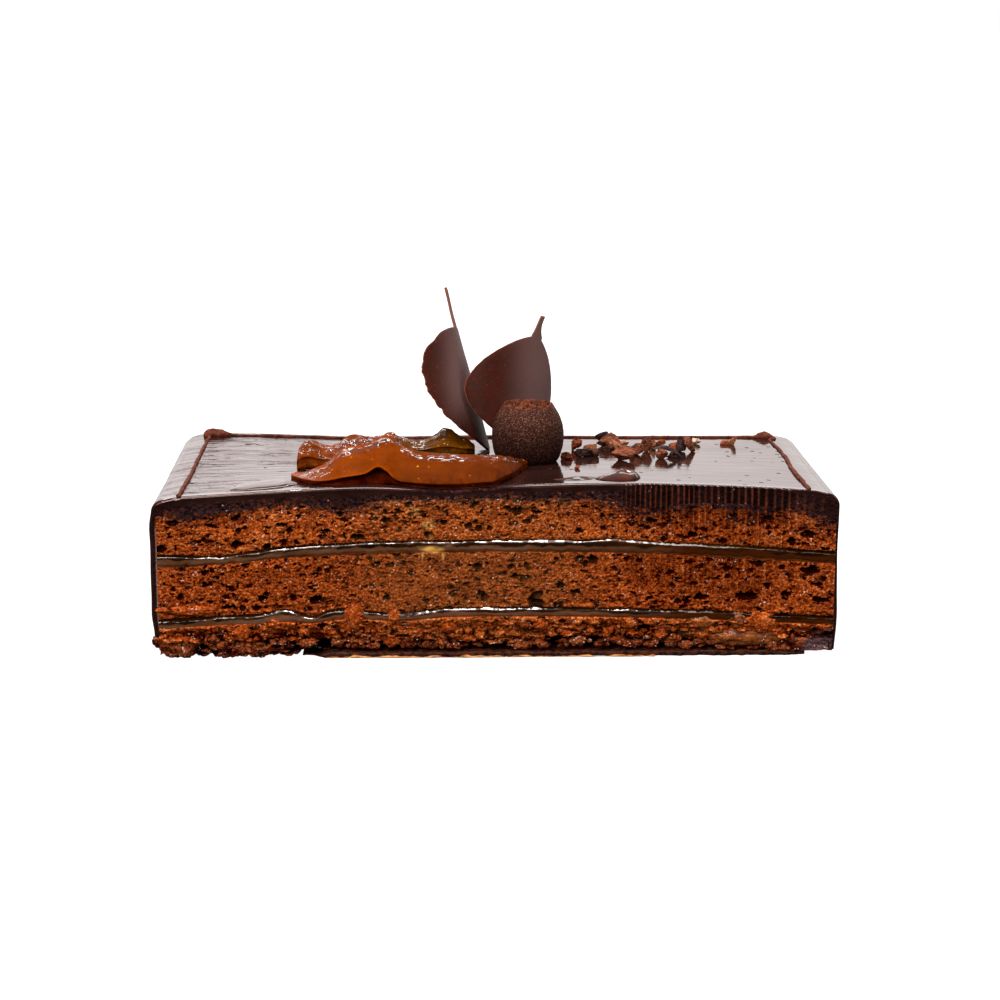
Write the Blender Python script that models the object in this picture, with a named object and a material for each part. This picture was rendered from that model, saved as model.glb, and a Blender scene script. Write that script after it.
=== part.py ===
"""Chocolate layer cake portion with apricot jam, glaze, candied fruit and chocolate decorations.

Run with blender --background --python part.py, or from Blender's text editor.
Units are metres, +Z is up, the cut face looks along -Y and the cake stands on z = 0.
"""
from math import cos, exp, pi, radians, sin, sqrt

import bmesh
import bpy
from mathutils import Euler, Vector, noise

# Driving dimensions of the cake
LENGTH = 0.115
DEPTH = 0.056
SIDE_HEIGHT = 0.0281
CROWN = 0.0016
# The poured top is low at the front left and high at the front right, the back left and the back middle
TOP_FRONT_LEFT = -0.0005
TOP_FRONT_RIGHT = 0.00042
TOP_BACK_LEFT = 0.0009
TOP_BACK_MIDDLE = 0.00025
SHOULDER_START = 0.0515
SHOULDER_WIDTH = 0.0038
SHOULDER_DROP = 0.00045
GAP = 0.0003
HALF_LENGTH = LENGTH / 2
HALF_DEPTH = DEPTH / 2
FRONT_Y = -HALF_DEPTH

# Glaze coat: top edge radius, upright back corner radius and side thickness
EDGE_RADIUS = 0.0022
CORNER_RADIUS = 0.004
SKIN = 0.0012
SKIN_HEM_LEFT = 0.0036
SKIN_HEM_RIGHT = 0.0014

# Heights of the faces between layers at the cut: at the sides, in the middle,
# and smooth bumps as (x, half width, height)
LEVELS = {
    "sheet_top": (0.0011, 0.0011, ()),
    "crumb_bottom": (0.0012, 0.0012, ()),
    "crumb_top": (0.0029, 0.0032, ((-0.022, 0.005, 0.0007), (0.012, 0.008, 0.0005))),
    "jam_lower_bottom": (0.0052, 0.0071, ((-0.031, 0.003, -0.0005), (-0.016, 0.005, -0.0006))),
    "jam_lower_top": (0.0067, 0.0087, ((-0.0356, 0.0025, 0.0006), (-0.031, 0.0022, -0.0009),
                                       (-0.026, 0.0025, 0.0003), (-0.016, 0.005, -0.0009))),
    "jam_upper_bottom": (0.0158, 0.0183, ((-0.046, 0.007, -0.0004),)),
    "jam_upper_top": (0.0179, 0.0203, ((-0.046, 0.007, -0.0010), (0.0195, 0.004, 0.0004))),
    "glaze_bottom": (0.0250, 0.0274, ((-0.051, 0.005, -0.0014), (-0.026, 0.004, -0.0015),
                                      (0.026, 0.006, -0.0011), (0.057, 0.005, -0.0013))),
}

# Columns along the cake: even steps between the rounded back corners
COLUMN_STEPS = 50
CORE_CORNER = 0.0025

# Thin chocolate sheet under the cake
SHEET_START = -0.033
SHEET_END = 0.0525

# Piped chocolate line on three sides of the top
LINE_RADIUS = 0.00048
LINE_LIFT = 0.00024
LINE_SIDES = 6
LINE_STEP = 0.0045
LINE_BACK_Y = 0.0230
LINE_POINTS = (
    (-0.0525, -0.0279), (-0.0524, -0.012), (-0.0522, 0.006), (-0.0518, 0.0205),
    (-0.0495, LINE_BACK_Y), (-0.020, 0.0228), (0.015, 0.0231), (0.0495, LINE_BACK_Y),
    (0.0517, 0.0190), (0.0526, 0.0034), (0.0522, -0.009), (0.0526, -0.0279),
)
# Thick joints of the line as (x, y, half length, half width, half height)
LINE_BLOBS = (
    (-0.0515, 0.0222, 0.0015, 0.0013, 0.0010),
    (-0.0487, 0.0229, 0.0021, 0.0009, 0.0009),
    (0.0508, 0.0224, 0.0016, 0.0013, 0.0010),
)

# Glaze drop on the front edge as (x, y, half length, half width, half height)
SMEAR = (0.0204, -0.0220, 0.0039, 0.0043, 0.0007)

# Roasted cocoa nibs as (x, y, length, width, height, turn in degrees, tapering)
NIBS = (
    (0.0132, -0.0012, 0.0018, 0.0015, 0.0015, 20, False),
    (0.0164, 0.0004, 0.0042, 0.0020, 0.0018, 4, False),
    (0.0154, 0.0076, 0.0020, 0.0014, 0.0029, 10, True),
    (0.0214, 0.0131, 0.0046, 0.0028, 0.0026, -12, False),
    (0.0223, 0.0098, 0.0030, 0.0009, 0.0017, 35, False),
    (0.0209, 0.0090, 0.0027, 0.0009, 0.0014, -28, False),
    (0.0228, -0.0050, 0.0038, 0.0027, 0.0022, -20, False),
    (0.0248, 0.0057, 0.0039, 0.0025, 0.0024, 15, False),
    (0.0282, 0.0091, 0.0026, 0.0021, 0.0028, 60, True),
    (0.0309, 0.0151, 0.0029, 0.0017, 0.0017, -8, False),
    (0.0315, 0.0002, 0.0056, 0.0027, 0.0021, -14, False),
    (0.0352, 0.0087, 0.0032, 0.0028, 0.0031, 25, True),
    (0.0378, 0.0161, 0.0015, 0.0012, 0.0012, 5, False),
    (0.0433, 0.0152, 0.0031, 0.0010, 0.0014, 28, False),
    (0.0442, 0.0150, 0.0027, 0.0010, 0.0019, -42, False),
    (0.0143, -0.0126, 0.0011, 0.0009, 0.0010, 0, False),
)
NIB_POINTS = 14
NIB_SINK = 0.0004

# Rolled chocolate curl that stands on the glaze: outer profile as (height, radius)
CURL_X = 0.0060
CURL_Y = -0.0035
CURL_PROFILE = (
    (0.0, 0.0049), (0.0004, 0.0054), (0.0010, 0.00575), (0.0021, 0.0061), (0.0036, 0.00633),
    (0.0051, 0.00633), (0.0066, 0.00608), (0.0080, 0.00555), (0.0091, 0.00485), (0.0100, 0.00428),
)
CURL_SIDES = 26
CURL_RINGS = 7
CURL_TURNS = 3
CURL_RECESS = 0.0011

# Chocolate petals with a stalk, curved round their middle line.
# Shape is (widest place, lower power, lower root, upper power, upper root).
LEAF_THICKNESS = 0.0005
LEAF_ROWS = 20
LEAF_COLUMNS = 7
STALK_ROWS = 4
LEAVES = {
    "leaf_left": {
        "foot": (-0.00072, 0.00680, 0.02910), "turn": 83, "tilt": -15.2, "lean": -16.2,
        "bend": 0.01076, "left": 0.01249, "right": 0.01249, "body": 0.0230, "stalk": 0.0076,
        "stalk_half": 0.00035, "flare": 0.0003, "stalk_lean": 0.0,
        "tip_half": 0.00022, "shape": (0.60, 1.8, 0.62, 2.2, 0.40),
    },
    "leaf_right": {
        "foot": (0.00456, 0.00300, 0.02915), "turn": 33, "tilt": 9.8, "lean": -16.8,
        "bend": 0.01309, "left": 0.01195, "right": 0.0069, "body": 0.0215, "stalk": 0.0038,
        "stalk_half": 0.00045, "flare": 0.0007, "stalk_lean": 0.0007,
        "tip_half": 0.00040, "shape": (0.51, 2.2, 1.22, 1.43, 0.72),
    },
}

# Candied fruit, each as sections along x: (x, foot y, lip y, lip height, ridge y, ridge height,
# back y), heights measured from the glaze
FRUIT = {
    "apricot_front": (
        (-0.0347, -0.0176, -0.0180, 0.0005, -0.0170, 0.0008, -0.0160),
        (-0.0339, -0.0192, -0.0199, 0.0006, -0.0170, 0.0010, -0.0135),
        (-0.0325, -0.0214, -0.0224, 0.0006, -0.0186, 0.0011, -0.0130),
        (-0.0312, -0.0234, -0.0244, 0.0007, -0.0192, 0.0016, -0.0124),
        (-0.0298, -0.0246, -0.0256, 0.0007, -0.0196, 0.0022, -0.0120),
        (-0.0284, -0.0239, -0.0261, 0.0008, -0.0198, 0.0029, -0.0120),
        (-0.0270, -0.0228, -0.0262, 0.0010, -0.0200, 0.0042, -0.0120),
        (-0.0256, -0.0218, -0.0262, 0.0013, -0.0200, 0.0053, -0.0120),
        (-0.0236, -0.0210, -0.0260, 0.0015, -0.0200, 0.0056, -0.0120),
        (-0.0217, -0.0206, -0.0258, 0.0018, -0.0200, 0.0061, -0.0120),
        (-0.0198, -0.0204, -0.0256, 0.0028, -0.0200, 0.0070, -0.0120),
        (-0.0184, -0.0208, -0.0258, 0.0022, -0.0200, 0.0073, -0.0122),
        (-0.0172, -0.0224, -0.0262, 0.0011, -0.0202, 0.0070, -0.0123),
        (-0.0160, -0.0248, -0.0268, 0.0007, -0.0204, 0.0061, -0.0124),
        (-0.0140, -0.0260, -0.0273, 0.0007, -0.0210, 0.0053, -0.0124),
        (-0.0105, -0.0266, -0.0278, 0.0008, -0.0216, 0.0051, -0.0120),
        (-0.0065, -0.0269, -0.0279, 0.0008, -0.0218, 0.0050, -0.0116),
        (-0.0025, -0.0271, -0.0279, 0.0008, -0.0218, 0.0045, -0.0112),
        (-0.0003, -0.0268, -0.0279, 0.0008, -0.0216, 0.0042, -0.0109),
        (0.0011, -0.0243, -0.0256, 0.0008, -0.0204, 0.0037, -0.0106),
        (0.0026, -0.0213, -0.0226, 0.0008, -0.0182, 0.0030, -0.0104),
        (0.0040, -0.0170, -0.0180, 0.0008, -0.0154, 0.0023, -0.0103),
        (0.0050, -0.0128, -0.0136, 0.0008, -0.0124, 0.0017, -0.0103),
        (0.0057, -0.0114, -0.0118, 0.0007, -0.0112, 0.0011, -0.0102),
    ),
    "apricot_left": (
        (-0.0342, -0.0102, -0.0106, 0.0010, -0.0096, 0.0019, -0.0083),
        (-0.0338, -0.0106, -0.0113, 0.0020, -0.0092, 0.0039, -0.0068),
        (-0.0326, -0.0108, -0.0112, 0.0023, -0.0084, 0.0050, -0.0050),
        (-0.0314, -0.0109, -0.0110, 0.0021, -0.0074, 0.0048, -0.0036),
        (-0.0302, -0.0109, -0.0109, 0.0018, -0.0066, 0.0040, -0.0024),
        (-0.0286, -0.0109, -0.0108, 0.0016, -0.0058, 0.0035, -0.0014),
        (-0.0271, -0.0109, -0.0108, 0.0017, -0.0054, 0.0036, -0.0008),
        (-0.0260, -0.0110, -0.0108, 0.0019, -0.0052, 0.0046, -0.0004),
        (-0.0244, -0.0110, -0.0108, 0.0020, -0.0052, 0.0051, -0.0002),
        (-0.0220, -0.0111, -0.0109, 0.0021, -0.0052, 0.0048, -0.0002),
        (-0.0198, -0.0111, -0.0110, 0.0023, -0.0054, 0.0050, -0.0006),
        (-0.0178, -0.0110, -0.0111, 0.0024, -0.0062, 0.0055, -0.0016),
        (-0.0165, -0.0104, -0.0106, 0.0018, -0.0070, 0.0044, -0.0034),
        (-0.0156, -0.0094, -0.0095, 0.0010, -0.0075, 0.0022, -0.0054),
    ),
    "apricot_right": (
        (-0.0193, 0.0018, 0.0017, 0.0010, 0.0030, 0.0020, 0.0042),
        (-0.0180, 0.0004, 0.0002, 0.0018, 0.0034, 0.0040, 0.0062),
        (-0.0158, -0.0002, -0.0003, 0.0015, 0.0038, 0.0030, 0.0078),
        (-0.0136, -0.0003, -0.0004, 0.0014, 0.0040, 0.0026, 0.0085),
        (-0.0116, -0.0002, -0.0003, 0.0015, 0.0041, 0.0029, 0.0090),
        (-0.0102, 0.0000, -0.0001, 0.0017, 0.0044, 0.0036, 0.0090),
        (-0.0090, 0.0002, 0.0002, 0.0018, 0.0048, 0.0044, 0.0090),
        (-0.0076, 0.0005, 0.0005, 0.0017, 0.0048, 0.0043, 0.0087),
        (-0.0062, 0.0009, 0.0009, 0.0014, 0.0046, 0.0035, 0.0083),
        (-0.0044, 0.0019, 0.0018, 0.0011, 0.0045, 0.0026, 0.0071),
        (-0.0032, 0.0032, 0.0031, 0.0008, 0.0045, 0.0016, 0.0058),
    ),
}
FRUIT_STEPS = 32
# Swelling between lip and ridge: share across, share up, and push to the front
SWELL_ACROSS = 0.45
SWELL_UP = 0.62
SWELL_PUSH = 0.0006
# Lift of the ridge that cutting the corners takes away again, and the shoulder behind it
RIDGE_LIFT = 1.10
SHOULDER_ACROSS = 0.6
SHOULDER_UP = 0.62
WRINKLES_PER_METRE = 320
WRINKLE_HEIGHT = 0.00035
WRINKLE_FADE = 0.002

# Material colours as linear red, green, blue, then roughness
COLOURS = {
    "dark_crumb": (0.035, 0.012, 0.006, 0.9),
    "chocolate_sheet": (0.020, 0.008, 0.006, 0.5),
    "sponge": (0.22, 0.065, 0.016, 0.9),
    "jam": (0.075, 0.036, 0.017, 0.15),
    "glaze": (0.022, 0.009, 0.008, 0.06),
    "apricot": (0.45, 0.13, 0.015, 0.12),
    "olive_apricot": (0.16, 0.075, 0.008, 0.12),
    "dark_chocolate": (0.060, 0.022, 0.018, 0.4),
    "rolled_chocolate": (0.045, 0.022, 0.013, 0.7),
}


def clear_scene():
    """Remove every object of the open file."""
    for existing in list(bpy.data.objects):
        bpy.data.objects.remove(existing, do_unlink=True)


def make_material(name):
    """Principled material of one named colour."""
    red, green, blue, roughness = COLOURS[name]
    material = bpy.data.materials.new(name)
    material.use_nodes = True
    shader = material.node_tree.nodes["Principled BSDF"]
    shader.inputs["Base Color"].default_value = (red, green, blue, 1.0)
    shader.inputs["Roughness"].default_value = roughness
    shader.inputs["Metallic"].default_value = 0.0
    return material


def make_object(name, bm, material=None, sharp=40):
    """Object in the scene from a bmesh, with faces pointing out and smooth shading."""
    bmesh.ops.recalc_face_normals(bm, faces=bm.faces)
    mesh = bpy.data.meshes.new(name)
    bm.to_mesh(mesh)
    bm.free()
    mesh.shade_smooth()
    mesh.set_sharp_from_angle(angle=radians(sharp))
    made = bpy.data.objects.new(name, mesh)
    bpy.context.scene.collection.objects.link(made)
    if material is not None:
        mesh.materials.append(material)
    return made


def loft(rings):
    """Closed bmesh through equal rings of points, with flat ends."""
    bm = bmesh.new()
    loops = [[bm.verts.new(point) for point in ring] for ring in rings]
    for near, far in zip(loops, loops[1:]):
        for index in range(len(near)):
            following = (index + 1) % len(near)
            bm.faces.new((near[index], near[following], far[following], far[index]))
    bm.faces.new(loops[0])
    bm.faces.new(loops[-1])
    return bm


def blend(start, end, share):
    """Value between two values."""
    return start + (end - start) * share


def crown_share(x, y):
    """Share of the crown at a place: most at the middle of the cut, none at the back."""
    across = 1 - (x / HALF_LENGTH) ** 2
    along = min(max(0.5 - y / DEPTH, 0), 1)
    return across * along


def level(name, x, y):
    """Height of a face between two layers."""
    side, middle, bumps = LEVELS[name]
    height = side + (middle - side) * crown_share(x, y)
    for centre, width, amount in bumps:
        height += amount * exp(-((x - centre) / width) ** 2)
    return height


def eased(value, low, high):
    """Smooth step from 0 to 1 between two limits."""
    share = min(max((value - low) / (high - low), 0), 1)
    return share * share * (3 - 2 * share)


def uneven(x, y):
    """Slow rise and fall of the poured top."""
    across = x / HALF_LENGTH
    along = y / HALF_DEPTH
    front = min(max((0.3 - along) / 1.3, 0), 1)
    back = min(max((0.3 + along) / 1.3, 0), 1)
    right = eased(across, 0.05, 0.4) * (1 - 0.45 * eased(across, 0.6, 1.0))
    near = TOP_FRONT_LEFT * eased(-across, 0.3, 0.95) + TOP_FRONT_RIGHT * right
    far = TOP_BACK_LEFT * eased(-across, 0.3, 0.9) + TOP_BACK_MIDDLE * eased(1 - abs(across) / 0.45, 0, 1)
    return near * front + far * back


def glaze_top(x, y):
    """Height of the glaze: crowned, uneven, low at the sides and sagging at the front under the fruit."""
    sag = 0.0009 * exp(-((x + 0.008) / 0.009) ** 2) * min(max((-y - 0.021) / 0.006, 0), 1)
    past = min(max((abs(x) - SHOULDER_START) / SHOULDER_WIDTH, 0), 1)
    return SIDE_HEIGHT + CROWN * crown_share(x, y) + uneven(x, y) - sag - SHOULDER_DROP * past ** 2


def rough(x, z, seed, width, height):
    """Smooth noise from 0 to 1 on the cut face, longer along x than along z."""
    value = noise.noise(Vector((x / width, seed, z / height)))
    return min(max(0.5 + value, 0), 1)


def corner_back(x, half_length, back, radius):
    """Back of the plan at x, round at both upright corners."""
    past = max(abs(x) - (half_length - radius), 0)
    return back - radius + sqrt(max(radius ** 2 - past ** 2, 0))


def columns(half_length, radius, steps):
    """Places along x, with a few more at the rounded corners."""
    inner = half_length - radius
    even = [blend(-inner, inner, index / steps) for index in range(steps + 1)]
    bends = [inner + radius * sin(radians(angle)) for angle in (32, 60, 90)]
    return [-place for place in reversed(bends)] + even + bends


def slab(places, rows, front, back, bottom, top):
    """Closed layer with its cut face split into rows."""
    rings = []
    for x in places:
        low = bottom(x, FRONT_Y)
        high = top(x, FRONT_Y)
        ring = []
        for row in range(rows + 1):
            z = blend(low, high, row / rows)
            ring.append(Vector((x, front(x, z, row / rows), z)))
        end = back(x)
        ring.append(Vector((x, end, top(x, end))))
        ring.append(Vector((x, end, bottom(x, end))))
        rings.append(ring)
    return loft(rings)


def core_back(x):
    """Back of the layers, inside the glaze."""
    return corner_back(x, HALF_LENGTH - SKIN - GAP, HALF_DEPTH - SKIN - GAP, CORE_CORNER)


def layer(name, low_level, high_level, rows, front, material):
    """One layer that runs through the cake between two faces."""
    places = columns(HALF_LENGTH - SKIN - GAP, CORE_CORNER, COLUMN_STEPS)

    def bottom(x, y):
        return level(low_level, x, y) + GAP / 2

    def top(x, y):
        return level(high_level, x, y) - GAP / 2

    make_object(name, slab(places, rows, front, core_back, bottom, top), material)


def build_sponges(material):
    """Three sponge layers with crumbly cut faces."""
    for name, low, high, rows, seed in (
        ("sponge_bottom", "crumb_top", "jam_lower_bottom", 3, 3.1),
        ("sponge_middle", "jam_lower_top", "jam_upper_bottom", 6, 7.7),
        ("sponge_top", "jam_upper_top", "glaze_bottom", 5, 12.4),
    ):
        def front(x, z, share, seed=seed):
            coarse = rough(x, z, seed, 0.0052, 0.0021)
            fine = rough(x, z, seed + 5, 0.0023, 0.0012)
            return FRONT_Y + 0.0005 * coarse + 0.0003 * fine

        layer(name, low, high, rows, front, material)


def build_jams(material):
    """Two jam layers, rounded and set back a little at the cut."""
    def front(x, z, share):
        return FRONT_Y + 0.0008 - 0.0004 * sin(pi * share)

    layer("jam_lower", "jam_lower_bottom", "jam_lower_top", 2, front, material)
    layer("jam_upper", "jam_upper_bottom", "jam_upper_top", 3, front, material)


def build_base(crumb_material, sheet_material):
    """Dark crumbs that reach the ground at the left, and the thin sheet beside them."""
    places = columns(HALF_LENGTH - SKIN - GAP, CORE_CORNER, COLUMN_STEPS + 6)

    def bottom(x, y):
        if x < SHEET_START:
            nicks = 0.0011 * max(rough(x, 0, 2.2, 0.0034, 1) - 0.42, 0) * (y < 0)
            return nicks
        raised = 0.0011 * exp(-((x - 0.013) / 0.010) ** 2) * (y < 0)
        return level("crumb_bottom", x, y) + GAP / 2 + raised

    def top(x, y):
        return level("crumb_top", x, y) - GAP / 2

    def front(x, z, share):
        crag = rough(x, z, 9.3, 0.0030, 0.0012)
        return FRONT_Y + 0.0001 + 0.0011 * crag

    make_object("crumb_base", slab(places, 3, front, core_back, bottom, top), crumb_material)

    steps = 34
    sheet_places = [blend(SHEET_START + GAP, SHEET_END, index / steps) for index in range(steps + 1)]

    def sheet_bottom(x, y):
        return 0

    def sheet_top(x, y):
        thinning = 0.0005 * min(max((x - 0.044) / 0.008, 0), 1) * (y < 0)
        return LEVELS["sheet_top"][0] - GAP / 2 - thinning

    def sheet_front(x, z, share):
        return FRONT_Y + 0.0001 + 0.0008 * rough(x, 0, 4.6, 0.0040, 1) + 0.0002 * share

    def sheet_back(x):
        return HALF_DEPTH - 0.0028

    sheet = slab(sheet_places, 1, sheet_front, sheet_back, sheet_bottom, sheet_top)
    make_object("base_sheet", sheet, sheet_material)


def glaze_hem(x, y):
    """Lower edge of the glaze on the sides and the back."""
    share = (x + HALF_LENGTH) / LENGTH
    wave = 0.0004 * sin(x * 260 + y * 190)
    return blend(SKIN_HEM_LEFT, SKIN_HEM_RIGHT, share) + wave


def glaze_body():
    """Outer body of the glaze, before the cake is cut out of it."""
    inner = HALF_LENGTH - EDGE_RADIUS
    steps = 22
    even = [blend(-inner, inner, index / steps) for index in range(steps + 1)]
    bends = [inner + EDGE_RADIUS * sin(radians(angle)) for angle in (25, 50, 72, 90)]
    rings = []
    for x in [-place for place in reversed(bends)] + even + bends:
        past = max(abs(x) - inner, 0)
        drop = EDGE_RADIUS - sqrt(max(EDGE_RADIUS ** 2 - past ** 2, 0))
        back = corner_back(x, HALF_LENGTH, HALF_DEPTH, CORNER_RADIUS)
        ring = [Vector((x, FRONT_Y, glaze_hem(x, FRONT_Y)))]
        for y in (FRONT_Y, -0.025, -0.022, -0.010, 0.004, 0.016, back - EDGE_RADIUS):
            ring.append(Vector((x, y, glaze_top(x, y) - drop)))
        for angle in (30, 60, 90):
            y = back - EDGE_RADIUS * (1 - sin(radians(angle)))
            height = glaze_top(x, back) - max(drop, EDGE_RADIUS * (1 - cos(radians(angle))))
            ring.append(Vector((x, y, height)))
        ring.append(Vector((x, back, 0.014)))
        ring.append(Vector((x, back, glaze_hem(x, back))))
        rings.append(ring)
    return loft(rings)


def cake_cutter():
    """Room of the cake inside the glaze, open at the cut face and below."""
    half = HALF_LENGTH - SKIN
    places = columns(half, CORE_CORNER + GAP, COLUMN_STEPS)

    def front(x, z, share):
        return FRONT_Y - 0.002

    def back(x):
        return corner_back(x, half, HALF_DEPTH - SKIN, CORE_CORNER + GAP)

    def bottom(x, y):
        return -0.001

    def top(x, y):
        return level("glaze_bottom", x, y) + GAP / 2

    return slab(places, 1, front, back, bottom, top)


def smooth_path(points, step):
    """Points at even steps on a smooth curve through the given points."""
    padded = [points[0]] + list(points) + [points[-1]]
    path = []
    for index in range(1, len(padded) - 2):
        before, start, end, after = (Vector(place) for place in padded[index - 1:index + 3])
        count = max(int((end - start).length / step), 2)
        for part in range(count):
            share = part / count
            path.append(0.5 * ((2 * start) + (end - before) * share
                               + (2 * before - 5 * start + 4 * end - after) * share ** 2
                               + (3 * start - before - 3 * end + after) * share ** 3))
    path.append(Vector(points[-1]))
    return path


def piped_line():
    """Tube of piped chocolate that lies half sunk on the glaze."""
    path = smooth_path(LINE_POINTS, LINE_STEP)
    rings = []
    for index, place in enumerate(path):
        ahead = path[min(index + 1, len(path) - 1)]
        behind = path[max(index - 1, 0)]
        along = (ahead - behind).normalized()
        if index in (0, len(path) - 1):
            along = Vector((0, 1 if index == 0 else -1))
        side = Vector((along.y, -along.x, 0))
        centre = Vector((place.x, place.y, glaze_top(place.x, place.y) + LINE_LIFT))
        radius = LINE_RADIUS * (1 + 0.12 * sin(index * 1.9))
        ring = []
        for corner in range(LINE_SIDES):
            angle = 2 * pi * corner / LINE_SIDES
            ring.append(centre + side * radius * cos(angle) + Vector((0, 0, radius * sin(angle))))
        rings.append(ring)
    return loft(rings)


def blob(x, y, half_length, half_width, half_height):
    """Flat drop that lies half sunk on the glaze."""
    bm = bmesh.new()
    bmesh.ops.create_icosphere(bm, subdivisions=2, radius=1)
    centre = Vector((x, y, glaze_top(x, y)))
    for vertex in bm.verts:
        size = Vector((half_length, half_width, half_height))
        vertex.co = centre + vertex.co * size
    return bm


def nib(index, x, y, length, width, height, turn, tapering):
    """Broken cocoa nib: the hull of points on an uneven block, seeded by its number."""
    bm = bmesh.new()
    for point in range(NIB_POINTS):
        seed = Vector((index * 7.13 + point * 3.71, point * 1.37, index * 2.9))
        direction = noise.noise_vector(seed)
        direction += Vector((sin(point * 2.4), cos(point * 2.4), sin(point * 4.1))) * 0.5
        direction.normalize()
        if tapering and direction.z > 0:
            direction.x *= 0.6
            direction.y *= 0.6
        bm.verts.new(direction)
    bmesh.ops.convex_hull(bm, input=bm.verts)
    loose = [vertex for vertex in bm.verts if not vertex.link_faces]
    bmesh.ops.delete(bm, geom=loose, context="VERTS")
    for axis, size in enumerate((length, width, height)):
        places = [vertex.co[axis] for vertex in bm.verts]
        low = min(places)
        high = max(places)
        offset = (low + high) / 2 if axis < 2 else low
        for vertex in bm.verts:
            vertex.co[axis] = (vertex.co[axis] - offset) * size / (high - low)
    turned = Euler((0, 0, radians(turn))).to_matrix()
    base = Vector((x, y, glaze_top(x, y) - NIB_SINK))
    for vertex in bm.verts:
        vertex.co = turned @ vertex.co + base
    return bm


def apply_modifiers(target):
    """Write the result of an object's modifiers to its mesh."""
    evaluated = target.evaluated_get(bpy.context.evaluated_depsgraph_get())
    result = bpy.data.meshes.new_from_object(evaluated)
    target.modifiers.clear()
    target.data = result
    result.name = target.name


def build_glaze(material):
    """Glaze coat with the piped line, the nibs and the drop fused to it."""
    glaze = make_object("glaze", glaze_body(), material)
    cutter = make_object("cake_room", cake_cutter())
    cut = glaze.modifiers.new("cake_room", "BOOLEAN")
    cut.operation = "DIFFERENCE"
    cut.object = cutter
    apply_modifiers(glaze)
    bpy.data.objects.remove(cutter, do_unlink=True)

    toppings = bpy.data.collections.new("toppings")
    bpy.context.scene.collection.children.link(toppings)
    bits = [make_object("piped_line", piped_line())]
    bits += [make_object(f"line_blob_{index}", blob(*row)) for index, row in enumerate(LINE_BLOBS)]
    bits.append(make_object("smear", blob(*SMEAR)))
    bits += [make_object(f"nib_{index}", nib(index, *row)) for index, row in enumerate(NIBS)]
    for bit in bits:
        bpy.context.scene.collection.objects.unlink(bit)
        toppings.objects.link(bit)
    fuse = glaze.modifiers.new("toppings", "BOOLEAN")
    fuse.operation = "UNION"
    fuse.operand_type = "COLLECTION"
    fuse.collection = toppings
    apply_modifiers(glaze)
    for bit in bits:
        bpy.data.objects.remove(bit, do_unlink=True)
    bpy.data.collections.remove(toppings)


def build_curl(material):
    """Rolled chocolate curl with its rolled layers showing in a shallow recess."""
    base = glaze_top(CURL_X, CURL_Y) + GAP
    rim_height, rim_radius = CURL_PROFILE[-1]
    rings = []
    for height, radius in CURL_PROFILE:
        ring = []
        for corner in range(CURL_SIDES):
            angle = 2 * pi * corner / CURL_SIDES
            uneven = 1 + 0.02 * sin(3 * angle + 1) * height / rim_height
            torn = 0.00025 * rough(angle, height, 6.1, 0.5, 1) if height == rim_height else 0
            reach = radius * uneven
            ring.append(Vector((reach * cos(angle), reach * sin(angle), height - torn)))
        rings.append(ring)
    for step in range(1, CURL_RINGS + 1):
        share = 1 - step / (CURL_RINGS + 1)
        ring = []
        for corner in range(CURL_SIDES):
            angle = 2 * pi * corner / CURL_SIDES
            roll = 0.5 + 0.5 * cos(2 * pi * (CURL_TURNS * share + corner / CURL_SIDES))
            height = rim_height - CURL_RECESS + 0.0008 * roll
            reach = rim_radius * share
            ring.append(Vector((reach * cos(angle), reach * sin(angle), height)))
        rings.append(ring)
    curl = make_object("chocolate_curl", loft(rings), material)
    curl.location = (CURL_X, CURL_Y, base)


def leaf_width(share, shape):
    """Half width of a petal along its middle line, from 0 at the tip to 0 at the stalk."""
    widest, low_power, low_root, high_power, high_root = shape
    if share < widest:
        return (1 - ((widest - share) / widest) ** low_power) ** low_root
    return (1 - ((share - widest) / (1 - widest)) ** high_power) ** high_root


def build_leaf(name, leaf, material):
    """Thin petal with a stalk, both faces split into the same triangles."""
    rows = []
    base_half = leaf["stalk_half"] + leaf["flare"]
    for step in range(LEAF_ROWS + 1):
        share = 0.5 - 0.5 * cos(pi * step / LEAF_ROWS)
        width = leaf_width(share, leaf["shape"])
        root = base_half if share > 0.5 else leaf["tip_half"]
        rows.append((share * leaf["body"], max(width * leaf["left"], root),
                     max(width * leaf["right"], root), 0))
    for step in range(1, STALK_ROWS + 1):
        share = step / STALK_ROWS
        half = leaf["stalk_half"] + leaf["flare"] * (1 - share) ** 3
        lean = leaf["stalk_lean"] * share ** 2
        rows.append((leaf["body"] + share * leaf["stalk"], half, half, lean))

    bm = bmesh.new()
    bend = leaf["bend"]
    grid = []
    for height, left, right, lean in rows:
        line = []
        for column in range(LEAF_COLUMNS):
            across = 2 * column / (LEAF_COLUMNS - 1) - 1
            angle = across * (left if across < 0 else right) / bend
            line.append(bm.verts.new((bend * sin(angle) + lean, bend * (1 - cos(angle)), height)))
        grid.append(line)
    for low, high in zip(grid, grid[1:]):
        for column in range(LEAF_COLUMNS - 1):
            corners = (low[column], low[column + 1], high[column + 1], high[column])
            bm.faces.new(corners)
    bmesh.ops.triangulate(bm, faces=bm.faces)
    petal = make_object(name, bm, material)
    petal.location = leaf["foot"]
    petal.rotation_mode = "ZXY"
    petal.rotation_euler = (radians(leaf["lean"]), radians(leaf["tilt"]), radians(leaf["turn"]))
    solid = petal.modifiers.new("thickness", "SOLIDIFY")
    solid.thickness = LEAF_THICKNESS
    solid.offset = 0


def cut_corners(points):
    """Closed outline with each corner cut off once."""
    rounded = []
    for start, end in zip(points, points[1:] + points[:1]):
        rounded.append(start.lerp(end, 0.25))
        rounded.append(start.lerp(end, 0.75))
    return rounded


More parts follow.
